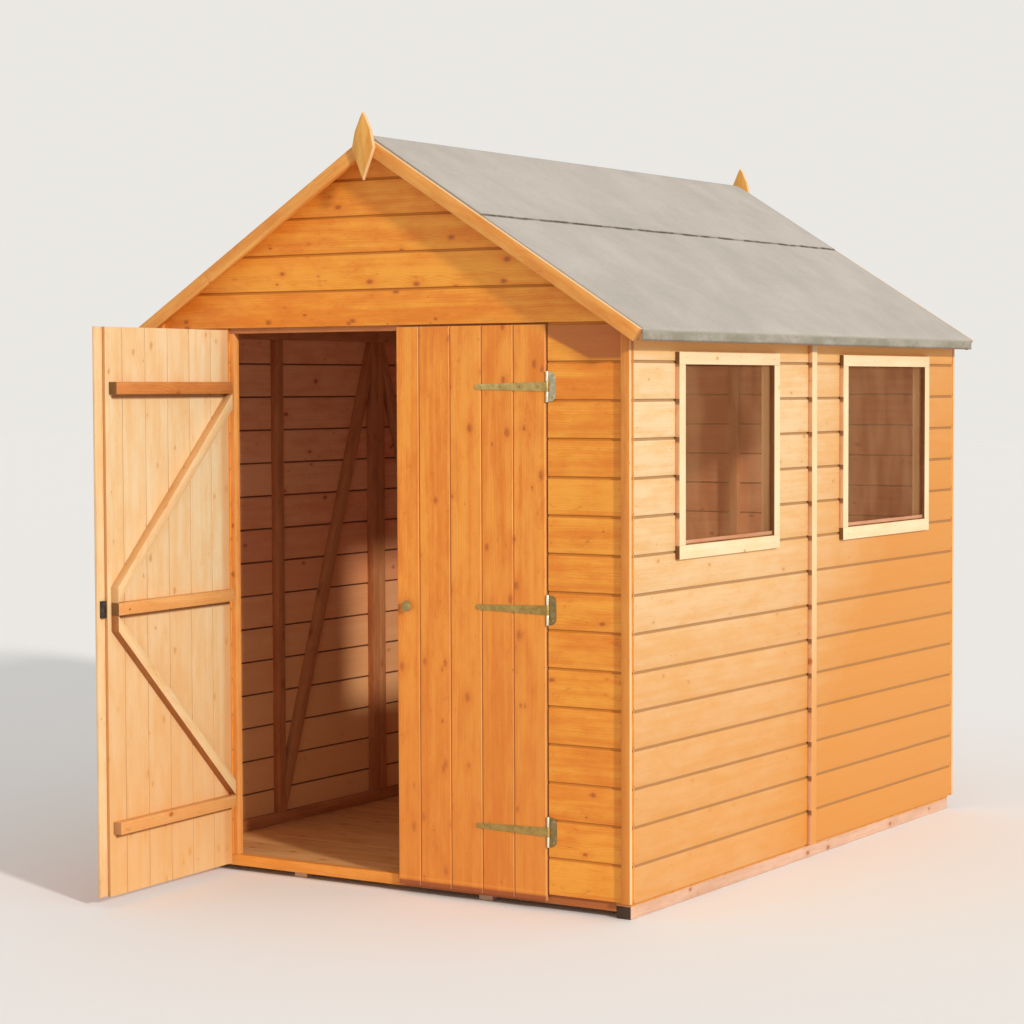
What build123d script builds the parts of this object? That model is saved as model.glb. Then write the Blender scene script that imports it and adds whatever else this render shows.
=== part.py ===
from build123d import *
import math
import os

# A double-door garden shed of horizontal boards. X runs along the door gable,
# Y from the doors to the back, Z up. The origin is at ground level under the
# middle of the floor. All sizes are in millimetres.

# Plan and roof
shed_width = 1800.0
shed_length = 2404.0
roof_slope = 0.6257
eaves_overhang = 70.0
front_overhang = 60.0

# Sections of timber
cladding_thick = 12.0
frame_deep = 27.0
frame_face = 38.0
bearer_tall = 38.0
bearer_wide = 50.0
floor_thick = 12.0
board_cover = 115.0

# Floor and doorway
inner_bearer = 357.0
middle_bearer_back = 60.0
sill_height = 35.0
sill_step = 5.0
door_courses = 15
head_drop = 17.0
wall_above_head = 5.0
post_face = 45.0
post_lap = 18.0
panel_gap = 1.0
panel_joint = -6.0

# Roof covering and trims
roof_board_thick = 12.0
felt_thick = 2.0
felt_drip = 35.0
ridge_felt_half = 415.0
eaves_batten_wide = 25.0
barge_deep = 43.0
barge_thick = 18.0
finial_half = 42.0
finial_up = 112.0
finial_waist = 30.0
finial_waist_up = 52.0
finial_neck = 8.0
finial_neck_up = 99.0
finial_down = 99.0
finial_thick = 14.0
finial_above = 68.0
corner_strip_wide = 30.0
corner_strip_thick = 14.0
joint_strip_wide = 38.0
trim_thick = 16.0
meet_gap = 0.3

# Windows, seen on the right-hand side
front_window_wide = 596.0
front_window_middle = -601.0
rear_window_wide = 648.0
rear_window_middle = 581.0
window_tall = 549.0
window_below_eaves = 93.0
window_side_trim = 40.0
window_head_trim = 38.0
window_sill_trim = 42.0
bead_up = 3.0
bead_tall = 12.0
bead_deep = 8.0
glass_thick = 3.0
glass_lap = 12.0
glass_play = 1.0
reveal_lap = 14.0

# Door leaves
leaf_thick = 12.0
leaf_stand_off = 5.0
leaf_side_gap = 6.0
leaf_pair_half = 605.0
left_leaf_wide = 642.0
right_leaf_wide = 545.0
leaf_top_gap = 6.0
leaf_bottom = 31.0
rest_angle = 86.5
ledge_tall = 38.0
ledge_thick = 30.0
ledge_inset = 17.0
brace_face = 34.0
brace_play = 1.0
strip_wide = 57.0
strip_beyond = 27.0
strip_thick = 10.0
strip_rebate = 5.0

# Hinges and small ironwork
low_hinge_rise = 209.0
high_hinge_drop = 186.0
knuckle_radius = 4.5
pin_radius = 2.5
pin_clearance = 0.05
knuckle_gap = 0.5
strap_knuckle = 29.0
strap_long = 250.0
strap_root = 2.7
strap_butt = 29.0
strap_tip = 16.0
plate_tall = 90.0
plate_wide = 28.0
plate_corner = 20.0
iron_thick = 2.0
plate_relief = 1.5
pin_head_radius = 4.0
pin_head_tall = 1.5
knob_inset = 46.0
knob_drop = 7.0
knob_radius = 17.0
knob_neck_radius = 6.0
knob_neck_long = 12.0
knob_disc_thick = 9.0
latch_wide = 17.0
latch_tall = 52.0
latch_deep = 14.0
cut_over = 1.0

# Worked out from the driving sizes
half_width = shed_width / 2
front = -shed_length / 2
back = shed_length / 2
frame_out = half_width - cladding_thick
frame_in = frame_out - frame_deep
front_frame = front + cladding_thick
front_inside = front_frame + frame_deep
back_frame = back - cladding_thick
back_inside = back_frame - frame_deep
roof_front = front - front_overhang
roof_back = back
floor_top = bearer_tall + floor_thick
door_head_line = floor_top + door_courses * board_cover
head_bottom = door_head_line - head_drop
head_top = head_bottom + frame_face
slope_angle = math.degrees(math.atan(roof_slope))
slope_stretch = math.sqrt(1 + roof_slope ** 2)
felt_rise = felt_thick * slope_stretch
board_rise = roof_board_thick * slope_stretch
wall_top = door_head_line + wall_above_head
ridge_line = wall_top + board_rise + roof_slope * half_width
eaves_half = half_width + eaves_overhang
window_top = wall_top - window_below_eaves - window_head_trim
window_bottom = window_top - window_tall
opening_half = leaf_pair_half + leaf_side_gap
post_inside = opening_half - post_lap
sill_top = floor_top + sill_step
pin_x = opening_half
pin_y = front - knuckle_radius
leaf_face = front - leaf_stand_off
leaf_back = leaf_face + leaf_thick
leaf_top = door_head_line - leaf_top_gap
low_hinge = leaf_bottom + low_hinge_rise
high_hinge = leaf_top - high_hinge_drop
middle_hinge = (low_hinge + high_hinge) / 2
hinge_heights = (low_hinge, middle_hinge, high_hinge)


def roof_line(x, drop=0.0):
    """Height of the roof boards' top at x, less a drop."""
    return ridge_line - roof_slope * abs(x) - drop


def under_roof(x):
    return roof_line(x, board_rise)


def block(x0, x1, y0, y1, z0, z1):
    """A box between two corners."""
    size = (abs(x1 - x0), abs(y1 - y0), abs(z1 - z0))
    middle = ((x0 + x1) / 2, (y0 + y1) / 2, (z0 + z1) / 2)
    return Pos(*middle) * Box(*size)


def slab_xz(points, y0, y1):
    """An outline in X and Z made solid from y0 back to y1."""
    face = make_face(Polyline(*[(x, 0, z) for x, z in points], close=True))
    solid = extrude(face, amount=y1 - y0, dir=(0, 1, 0))
    return Pos(0, y0, 0) * solid


def slab_yz(points, x0, x1):
    """An outline in Y and Z made solid from x0 to x1."""
    face = make_face(Polyline(*[(0, y, z) for y, z in points], close=True))
    solid = extrude(face, amount=x1 - x0, dir=(1, 0, 0))
    return Pos(x0, 0, 0) * solid


def both_sides(solid):
    """A solid and its mirror image across the middle of the shed."""
    return [solid, mirror(solid, about=Plane.YZ)]


# Base: bearers, floor and the rail under the doors
def make_bearers():
    """Outer and inner pairs, and one in the middle whose front end is set back."""
    half = bearer_wide / 2
    middle_front = front_inside + middle_bearer_back
    outer = block(frame_out - bearer_wide, frame_out, front_frame, back_frame, 0, bearer_tall)
    inner = block(inner_bearer - half, inner_bearer + half, front_inside, back_frame, 0, bearer_tall)
    middle = block(-half, half, middle_front, back_frame, 0, bearer_tall)
    return both_sides(outer) + both_sides(inner) + [middle]


def make_floor():
    deck = block(-frame_out, frame_out, front_inside, back_frame, bearer_tall, floor_top)
    tab = block(frame_out - bearer_wide, frame_out, front_frame, front_inside, bearer_tall, floor_top)
    for corner in both_sides(tab):
        deck = deck + corner
    return [deck]


def make_sill():
    reach = frame_out - bearer_wide
    return [block(-reach, reach, front_frame, front_inside, sill_top - sill_height, sill_top)]


# Boarding of the walls, as whole panels
def make_front_side(side):
    outer = side * half_width
    inner = side * opening_half
    return [block(min(outer, inner), max(outer, inner), front, front_frame, floor_top, door_head_line)]


def gable_points(bottom):
    edge = half_width
    eaves = under_roof(edge)
    return [(-edge, bottom), (edge, bottom), (edge, eaves), (0, under_roof(0)), (-edge, eaves)]


def side_panel(side, y0, y1):
    """One panel of side boarding, its top cut to the roof's slope."""
    inner = frame_out
    outer = half_width
    points = [(inner, floor_top), (outer, floor_top), (outer, under_roof(outer)), (inner, under_roof(inner))]
    panel = slab_xz([(side * x, z) for x, z in points], y0, y1)
    return panel


def panel_spans():
    """Start and end of the front and the rear panel of a side wall."""
    return [(front_frame, panel_joint - panel_gap / 2), (panel_joint + panel_gap / 2, back_frame)]


def window_spans():
    """Start and end of the front and the rear window opening."""
    return [(front_window_middle - front_window_wide / 2, front_window_middle + front_window_wide / 2),
            (rear_window_middle - rear_window_wide / 2, rear_window_middle + rear_window_wide / 2)]


def window_box(span, spread, x0, x1):
    y0, y1 = span
    return block(x0, x1, y0 - spread, y1 + spread, window_bottom - spread, window_top + spread)


def make_right_panel(index):
    y0, y1 = panel_spans()[index]
    span = window_spans()[index]
    hole = window_box(span, glass_lap, frame_out - cut_over, half_width + cut_over)
    return [side_panel(1, y0, y1) - hole]


def make_left_panel(index):
    y0, y1 = panel_spans()[index]
    return [side_panel(-1, y0, y1)]


# Framing inside the boards
def make_posts():
    door_post = block(post_inside, post_inside + post_face, front_frame, front_inside, sill_top, head_bottom)
    posts = both_sides(door_post)
    x0 = frame_out - frame_face
    outline = [(x0, floor_top), (frame_out, floor_top),
               (frame_out, under_roof(frame_out)), (x0, under_roof(x0))]
    posts += both_sides(slab_xz(outline, front_frame, front_inside))
    posts += both_sides(slab_xz(outline, back_inside, back_frame))
    return posts


def make_door_head():
    reach = frame_out - frame_face
    return [block(-reach, reach, front_frame, front_inside, head_bottom, head_top)]


def gable_rafter(y0, y1):
    """One sloping rail under the roof, from the head rail to the ridge."""
    reach = frame_out - frame_face
    drop = frame_face * slope_stretch
    low_x = (under_roof(0) - drop - head_top) / roof_slope
    outline = [(meet_gap, under_roof(meet_gap)), (reach, under_roof(reach)), (reach, head_top),
               (low_x, head_top), (meet_gap, under_roof(meet_gap) - drop)]
    return slab_xz(outline, y0, y1)


def make_rafters():
    rafters = both_sides(gable_rafter(front_frame, front_inside))
    return rafters + both_sides(gable_rafter(back_inside, back_frame))


def make_rear_rails():
    reach = frame_out - frame_face
    rails = [block(-reach, reach, back_inside, back_frame, floor_top, floor_top + frame_face)]
    rails.append(block(-reach, reach, back_inside, back_frame, head_bottom, head_top))
    return rails


def make_rear_studs():
    studs = []
    for x in (-shed_width / 4, 0, shed_width / 4):
        half = frame_face / 2
        studs.append(block(x - half, x + half, back_inside, back_frame, floor_top + frame_face, head_bottom))
    return studs


def side_top_bottom():
    """Underside of the top rail of a side wall."""
    return under_roof(frame_out) - frame_face


def frame_spans():
    return [(front_inside, panel_joint - panel_gap / 2), (panel_joint + panel_gap / 2, back_inside)]


def panel_middles():
    """Middle of the front and the rear panel of a side wall."""
    return [(y0 + y1) / 2 for y0, y1 in panel_spans()]


def make_side_rails(side):
    rails = []
    top = [(frame_in, side_top_bottom()), (frame_out, side_top_bottom()),
           (frame_out, under_roof(frame_out)), (frame_in, under_roof(frame_in))]
    for y0, y1 in frame_spans():
        rails.append(block(side * frame_in, side * frame_out, y0, y1, floor_top, floor_top + frame_face))
        rails.append(slab_xz([(side * x, z) for x, z in top], y0, y1))
    if side > 0:
        for start, end in window_spans():
            y0 = start - reveal_lap
            y1 = end + reveal_lap
            low = window_bottom - reveal_lap
            high = window_top + reveal_lap
            rails.append(block(frame_in, frame_out, y0, y1, low - frame_face, low))
            rails.append(block(frame_in, frame_out, y0, y1, high, high + frame_face))
    return rails


def side_stud(side, y0, y1):
    return block(side * frame_in, side * frame_out, y0, y1, floor_top + frame_face, side_top_bottom())


def make_side_studs(side):
    studs = []
    for index, (y0, y1) in enumerate(frame_spans()):
        studs.append(side_stud(side, y0, y0 + frame_face))
        studs.append(side_stud(side, y1 - frame_face, y1))
        if side > 0:
            start, end = window_spans()[index]
            studs.append(side_stud(side, start - reveal_lap - frame_face, start - reveal_lap))
            studs.append(side_stud(side, end + reveal_lap, end + reveal_lap + frame_face))
        else:
            middle = panel_middles()[index]
            studs.append(side_stud(side, middle - frame_face / 2, middle + frame_face / 2))
    return studs


def make_left_braces():
    """One diagonal in each half of the left wall, beside the joint of the panels."""
    braces = []
    low = floor_top + frame_face
    high = side_top_bottom()
    for direction, middle in zip((-1, 1), panel_middles()):
        y_joint = panel_joint + direction * (panel_gap / 2 + frame_face)
        y_stud = middle - direction * frame_face / 2
        run = abs(y_stud - y_joint)
        tall = frame_face * math.hypot(run, high - low) / run
        outline = [(y_joint, high), (y_joint, high - tall), (y_stud, low), (y_stud, low + tall)]
        braces.append(slab_yz(outline, -frame_out, -frame_in))
    return braces


# Strips over the joints and corners
def make_joint_strips():
    half = joint_strip_wide / 2
    x0 = half_width
    x1 = half_width + trim_thick
    outline = [(x0, floor_top), (x1, floor_top), (x1, under_roof(x1)), (x0, under_roof(x0))]
    return both_sides(slab_xz(outline, panel_joint - half, panel_joint + half))


def make_corner_strips():
    x0 = half_width - corner_strip_wide
    x1 = half_width
    outline = [(x0, floor_top), (x1, floor_top), (x1, under_roof(x1)), (x0, under_roof(x0))]
    under_barge = [(x0, floor_top), (x1, floor_top), (x1, barge_low(x1)), (x0, barge_low(x0))]
    strips = both_sides(slab_xz(outline, front - corner_strip_thick, front))
    return strips + both_sides(slab_xz(under_barge, back, back + corner_strip_thick))


# Windows
def make_side_trims():
    trims = []
    face = half_width + trim_thick
    for start, end in window_spans():
        trims.append(block(half_width, face, start - window_side_trim, start, window_bottom, window_top))
        trims.append(block(half_width, face, end, end + window_side_trim, window_bottom, window_top))
    return trims


def make_cross_trims(low, high):
    """Trims across the whole width of each window, over the ends of the side trims."""
    trims = []
    for start, end in window_spans():
        y0 = start - window_side_trim
        y1 = end + window_side_trim
        trims.append(block(half_width, half_width + trim_thick, y0, y1, low, high))
    return trims


def make_head_trims():
    low = window_top
    return make_cross_trims(low, low + window_head_trim)


def make_sill_trims():
    """The sill trims and the thin bead lying on the glass above each."""
    trims = make_cross_trims(window_bottom - window_sill_trim, window_bottom)
    low = window_bottom + bead_up
    for start, end in window_spans():
        trims.append(block(half_width, half_width + bead_deep, start, end, low, low + bead_tall))
    return trims


def make_glass():
    spread = glass_lap - glass_play
    return [window_box(span, spread, half_width - glass_thick, half_width) for span in window_spans()]


# Roof
def roof_sheet(side, x0, x1, low_drop, high_drop):
    """A sloping sheet between two drops below the roof line, over the whole length."""
    points = [(x0, roof_line(x0, high_drop)), (x1, roof_line(x1, high_drop)),
              (x1, roof_line(x1, low_drop)), (x0, roof_line(x0, low_drop))]
    outline = [(side * x, z) for x, z in points]
    return slab_xz(outline, roof_front, roof_back)


def make_roof_panel(side):
    return [roof_sheet(side, meet_gap, eaves_half, board_rise, 0)]


def make_eaves_battens():
    x0 = eaves_half - eaves_batten_wide
    x1 = eaves_half
    low = roof_line(eaves_half) - felt_drip
    outline = [(x0, low), (x1, low), (x1, under_roof(x1)), (x0, under_roof(x0))]
    return both_sides(slab_xz(outline, roof_front, roof_back))


def make_purlins():
    x0 = half_width / 2
    x1 = x0 + frame_deep
    drop = frame_face * slope_stretch
    low = under_roof(x0) - drop
    outline = [(x0, under_roof(x0)), (x1, under_roof(x1)), (x1, low), (x0, low)]
    return both_sides(slab_xz(outline, front_inside, back_inside))


def make_felt(side):
    """Felt over one slope, turned down over the eaves batten."""
    x0 = meet_gap
    x1 = eaves_half
    x2 = eaves_half + felt_thick
    low = roof_line(x1) - felt_drip
    points = [(x0, roof_line(x0, -felt_rise)), (x2, roof_line(x2, -felt_rise)), (x2, low), (x1, low),
              (x1, roof_line(x1)), (x0, roof_line(x0))]
    outline = [(side * x, z) for x, z in points]
    return [slab_xz(outline, roof_front, roof_back)]


def make_ridge_felt():
    x1 = ridge_felt_half
    top = [(x, roof_line(x, -2 * felt_rise)) for x in (-x1, 0, x1)]
    low = [(x, roof_line(x, -felt_rise)) for x in (x1, 0, -x1)]
    return [slab_xz(top + low, roof_front, roof_back)]


def barge_low(x):
    """Height of the barge boards' lower edge at x."""
    return roof_line(x, barge_deep * slope_stretch)


def barge(y0, y1):
    """A board along one slope of a gable, flush with the roof boards, its lower end cut square."""
    top_out = eaves_half + felt_thick
    low_out = top_out - barge_deep * roof_slope / slope_stretch
    outline = [(meet_gap, roof_line(meet_gap)), (top_out, roof_line(top_out)),
               (low_out, barge_low(low_out)), (meet_gap, barge_low(meet_gap))]
    return slab_xz(outline, y0, y1)


def make_barges():
    barges = both_sides(barge(roof_front - barge_thick, roof_front))
    return barges + both_sides(barge(roof_back, roof_back + barge_thick))


def make_finials():
    """A tall kite at each peak, its upper sides bowed out."""
    peak = ridge_line + 2 * felt_rise + finial_above - finial_up
    right = [(finial_neck, peak + finial_neck_up),
             (finial_waist, peak + finial_waist_up), (finial_half, peak)]
    left = [(-x, z) for x, z in reversed(right)]
    outline = [(0, peak + finial_up)] + right + [(0, peak - finial_down)] + left
    y0 = roof_front - barge_thick
    y1 = roof_back + barge_thick
    return [slab_xz(outline, y0 - finial_thick, y0), slab_xz(outline, y1, y1 + finial_thick)]


# Hinges: a tapered strap on the leaf and a plate with the pin on the jamb
def strap_blade(height):
    """The strap of a hinge at the right-hand jamb, lying on the closed leaf."""
    outline = [(-strap_root, -strap_butt / 2), (-strap_long, -strap_tip / 2),
               (-strap_long, strap_tip / 2), (-strap_root, strap_butt / 2)]
    points = [(pin_x + x, height + z) for x, z in outline]
    blade = slab_xz(points, leaf_face - iron_thick, leaf_face)
    tip_x = pin_x - strap_long
    y = leaf_face - iron_thick / 2
    tip = Pos(tip_x, y, height) * Rot(90, 0, 0) * Cylinder(strap_tip / 2, iron_thick)
    return blade + tip


def make_strap(height):
    knuckle = Pos(pin_x, pin_y, height) * Cylinder(knuckle_radius, strap_knuckle)
    bore = Pos(pin_x, pin_y, height) * Cylinder(pin_radius + pin_clearance, strap_knuckle + 2 * cut_over)
    return strap_blade(height) + knuckle - bore


def make_plate(height):
    half = plate_tall / 2
    plate = block(pin_x, pin_x + plate_wide, front - iron_thick, front, height - half, height + half)
    outer_corners = plate.edges().filter_by(Axis.Y).group_by(Axis.X)[-1]
    plate = fillet(outer_corners, plate_corner)
    relief_x = pin_x + knuckle_radius + plate_relief
    relief = strap_knuckle / 2 + knuckle_gap
    y0 = front - iron_thick - cut_over
    plate = plate - block(pin_x - cut_over, relief_x, y0, front + cut_over, height - relief, height + relief)
    long = half - relief
    for direction in (-1, 1):
        middle = height + direction * (relief + long / 2)
        plate = plate + Pos(pin_x, pin_y, middle) * Cylinder(knuckle_radius, long)
    plate = plate + Pos(pin_x, pin_y, height) * Cylinder(pin_radius, plate_tall)
    for direction in (-1, 1):
        end = height + direction * (half + pin_head_tall / 2)
        plate = plate + Pos(pin_x, pin_y, end) * Cylinder(pin_head_radius, pin_head_tall)
    return plate


def make_hinge_plates():
    plates = []
    for height in hinge_heights:
        plates += both_sides(make_plate(height))
    return plates


# Door leaves, drawn closed and hinged at the right-hand jamb
def leaf_edges(wide):
    return leaf_pair_half - wide, leaf_pair_half


def leaf_boards(wide):
    x0, x1 = leaf_edges(wide)
    return [block(x0, x1, leaf_face, leaf_back, leaf_bottom, leaf_top)]


def leaf_ledges(wide):
    edge_x0, edge_x1 = leaf_edges(wide)
    x0 = edge_x0 + ledge_inset
    x1 = edge_x1 - ledge_inset
    half = ledge_tall / 2
    y1 = leaf_back + ledge_thick
    return [block(x0, x1, leaf_back, y1, z - half, z + half) for z in hinge_heights]


def leaf_braces(wide):
    """Two diagonals between the ledges, rising away from the hinges and back."""
    x0, x1 = leaf_edges(wide)
    free = x0 + ledge_inset
    hung = x1 - ledge_inset
    braces = []
    for low, high, foot, head in ((0, 1, hung, free), (1, 2, free, hung)):
        z0 = hinge_heights[low] + ledge_tall / 2
        z1 = hinge_heights[high] - ledge_tall / 2
        run = abs(head - foot)
        tall = brace_face * math.hypot(run, z1 - z0) / run
        outline = [(foot, z0), (foot, z0 + tall), (head, z1), (head, z1 - tall)]
        braces.append(slab_xz(outline, leaf_back, leaf_back + ledge_thick - brace_play))
    return braces


def leaf_straps():
    return [make_strap(height) for height in hinge_heights]


def make_knob():
    x = leaf_pair_half - right_leaf_wide + knob_inset
    z = middle_hinge - knob_drop
    turn = Rot(90, 0, 0)
    neck = Pos(x, leaf_face - knob_neck_long / 2, z) * turn * Cylinder(knob_neck_radius, knob_neck_long)
    face = leaf_face - knob_neck_long
    disc = Pos(x, face - knob_disc_thick / 2, z) * turn * Cylinder(knob_radius, knob_disc_thick)
    return [neck + disc]


def make_meeting_strip():
    """Rebated strip outside the left leaf's free edge, drawn at the right-hand jamb."""
    x0, _ = leaf_edges(left_leaf_wide)
    edge = x0 - strip_beyond
    step = leaf_face - strip_rebate
    low = leaf_bottom - cut_over
    high = leaf_top + cut_over
    strip = block(edge, edge + strip_wide, step - strip_thick, leaf_face, leaf_bottom, leaf_top)
    rebate = block(edge - cut_over, x0, step, leaf_face + cut_over, low, high)
    return [strip - rebate]


def make_latch():
    """Catch behind the meeting strip, against the free edge of the boards."""
    x0, _ = leaf_edges(left_leaf_wide)
    y0 = leaf_face - strip_rebate
    half = latch_tall / 2
    return [block(x0 - latch_wide, x0, y0, y0 + latch_deep, middle_hinge - half, middle_hinge + half)]


def to_left_open(solids):
    """Turns pieces drawn at the right-hand jamb into the left leaf, standing open."""
    hinge = Axis((-pin_x, pin_y, 0), (0, 0, 1))
    return [mirror(solid, about=Plane.YZ).rotate(hinge, -rest_angle) for solid in solids]


nodes = {
    "floor_bearers": make_bearers(),
    "floor_boards": make_floor(),
    "door_sill": make_sill(),
    "front_wall_left": make_front_side(-1),
    "front_wall_right": make_front_side(1),
    "front_gable": [slab_xz(gable_points(door_head_line), front, front_frame)],
    "rear_wall": [slab_xz(gable_points(floor_top), back_frame, back)],
    "left_wall_front": make_left_panel(0),
    "left_wall_rear": make_left_panel(1),
    "right_wall_front": make_right_panel(0),
    "right_wall_rear": make_right_panel(1),
    "frame_posts": make_posts(),
    "door_head": make_door_head(),
    "gable_rafters": make_rafters(),
    "rear_rails": make_rear_rails(),
    "rear_studs": make_rear_studs(),
    "side_rails": make_side_rails(-1) + make_side_rails(1),
    "side_studs": make_side_studs(-1) + make_side_studs(1),
    "left_braces": make_left_braces(),
    "joint_strips": make_joint_strips(),
    "corner_strips": make_corner_strips(),
    "window_side_trims": make_side_trims(),
    "window_head_trims": make_head_trims(),
    "window_sill_trims": make_sill_trims(),
    "window_glass": make_glass(),
    "roof_panel_left": make_roof_panel(-1),
    "roof_panel_right": make_roof_panel(1),
    "roof_battens": make_purlins() + make_eaves_battens(),
    "felt_left": make_felt(-1),
    "felt_right": make_felt(1),
    "felt_ridge": make_ridge_felt(),
    "barge_boards": make_barges(),
    "finials": make_finials(),
    "hinge_plates": make_hinge_plates(),
    "left_door_boards": to_left_open(leaf_boards(left_leaf_wide)),
    "left_door_ledges": to_left_open(leaf_ledges(left_leaf_wide)),
    "left_door_braces": to_left_open(leaf_braces(left_leaf_wide)),
    "left_door_hinges": to_left_open(leaf_straps()),
    "left_door_strip": to_left_open(make_meeting_strip()),
    "left_door_latch": to_left_open(make_latch()),
    "right_door_boards": leaf_boards(right_leaf_wide),
    "right_door_ledges": leaf_ledges(right_leaf_wide),
    "right_door_braces": leaf_braces(right_leaf_wide),
    "right_door_hinges": leaf_straps(),
    "right_door_knob": make_knob(),
}

os.makedirs("parts", exist_ok=True)
for name, solids in nodes.items():
    piece = solids[0] if len(solids) == 1 else Compound(children=solids)
    export_step(piece, "parts/" + name + ".step")
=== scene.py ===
import math
import random
import bmesh
import bpy
import numpy as np
from mathutils import Matrix, Vector
from mathutils import noise as softNoise


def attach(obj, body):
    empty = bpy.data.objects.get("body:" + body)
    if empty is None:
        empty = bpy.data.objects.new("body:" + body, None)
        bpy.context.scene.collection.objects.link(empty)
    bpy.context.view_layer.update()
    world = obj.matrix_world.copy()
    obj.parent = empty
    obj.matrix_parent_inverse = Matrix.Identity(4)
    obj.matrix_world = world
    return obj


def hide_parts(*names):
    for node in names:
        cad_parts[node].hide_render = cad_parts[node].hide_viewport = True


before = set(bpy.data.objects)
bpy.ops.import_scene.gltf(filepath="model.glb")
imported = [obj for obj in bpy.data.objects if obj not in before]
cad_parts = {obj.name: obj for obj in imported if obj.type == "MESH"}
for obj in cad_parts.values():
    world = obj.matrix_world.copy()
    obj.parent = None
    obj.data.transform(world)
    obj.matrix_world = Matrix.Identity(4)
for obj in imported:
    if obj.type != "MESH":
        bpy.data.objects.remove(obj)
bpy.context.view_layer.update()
dice = random.Random(1871)
print("frame loaded:", len(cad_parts), "nodes")

# sizes shared by several pieces, in metres, as in the frame
shed = {
    "halfWidth": 0.900, "halfLength": 1.202, "boardThick": 0.012, "boardCover": 0.115,
    "wallBottom": 0.050, "wallTop": 1.780, "slope": 0.6257, "ridgeLine": 2.3573,
    "roofBoard": 0.0142, "eavesHalf": 0.970, "roofFront": -1.262, "roofBack": 1.202, "feltRise": 0.00236,
    "jamb": 0.611, "panelJoint": -0.006, "wallRows": 15, "gableRows": 20,
}
# openings of the two windows along the wall, and the rows of boards that they cut
windows = {
    "openings": ((-0.899, -0.303), (0.257, 0.905)), "lap": 0.012, "rows": (9, 14),
    "bottom": 1.100, "top": 1.649, "sideTrim": 0.040, "headTrim": 0.038, "sillTrim": 0.042,
    "trimThick": 0.016,
}
leaf = {
    "pinX": 0.611, "pinY": -1.2065, "face": -1.207, "bottom": 0.031, "top": 1.769, "edge": 0.605,
    "restAngle": 86.5, "hinges": (0.240, 0.9115, 1.583),
    "leftLines": (-0.037, 0.048, 0.163, 0.278, 0.393, 0.508, 0.605),
    "rightLines": (0.060, 0.145, 0.260, 0.375, 0.490, 0.605),
}
halfWidth, halfLength, boardThick = shed["halfWidth"], shed["halfLength"], shed["boardThick"]
grainShift = 37.0  # how far the grain is moved on from a board with seed 0 to one with seed 1


# a socket that can be used in sums, so that shader maths reads as plain expressions
class Wire:
    def __init__(self, paint, socket):
        self.paint, self.socket = paint, socket

    def calc(self, operation, *values):
        return self.paint.node("ShaderNodeMath", {"operation": operation}, dict(enumerate(values)))

    def __add__(self, other):
        return self.calc("ADD", self, other)

    def __sub__(self, other):
        return self.calc("SUBTRACT", self, other)

    def __rsub__(self, other):
        return self.calc("SUBTRACT", other, self)

    def __mul__(self, other):
        return self.calc("MULTIPLY", self, other)

    def __truediv__(self, other):
        return self.calc("DIVIDE", self, other)

    def __rtruediv__(self, other):
        return self.calc("DIVIDE", other, self)

    def __pow__(self, other):
        return self.calc("POWER", self, other)

    def __mod__(self, other):
        return self.calc("FLOORED_MODULO", self, other)

    __radd__, __rmul__ = __add__, __mul__

    def sine(self):
        return self.calc("SINE", self)

    def size(self):
        return self.calc("ABSOLUTE", self)

    def root(self):
        return self.calc("SQRT", self)

    def least(self, other):
        return self.calc("MINIMUM", self, other)

    def most(self, other):
        return self.calc("MAXIMUM", self, other)

    def ramp(self, low, high, start=0.0, end=1.0):  # start at low, end at high, eased between
        settings = {"interpolation_type": "SMOOTHSTEP"}
        return self.paint.node("ShaderNodeMapRange", settings, {0: self, 1: low, 2: high, 3: start, 4: end})


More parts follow.
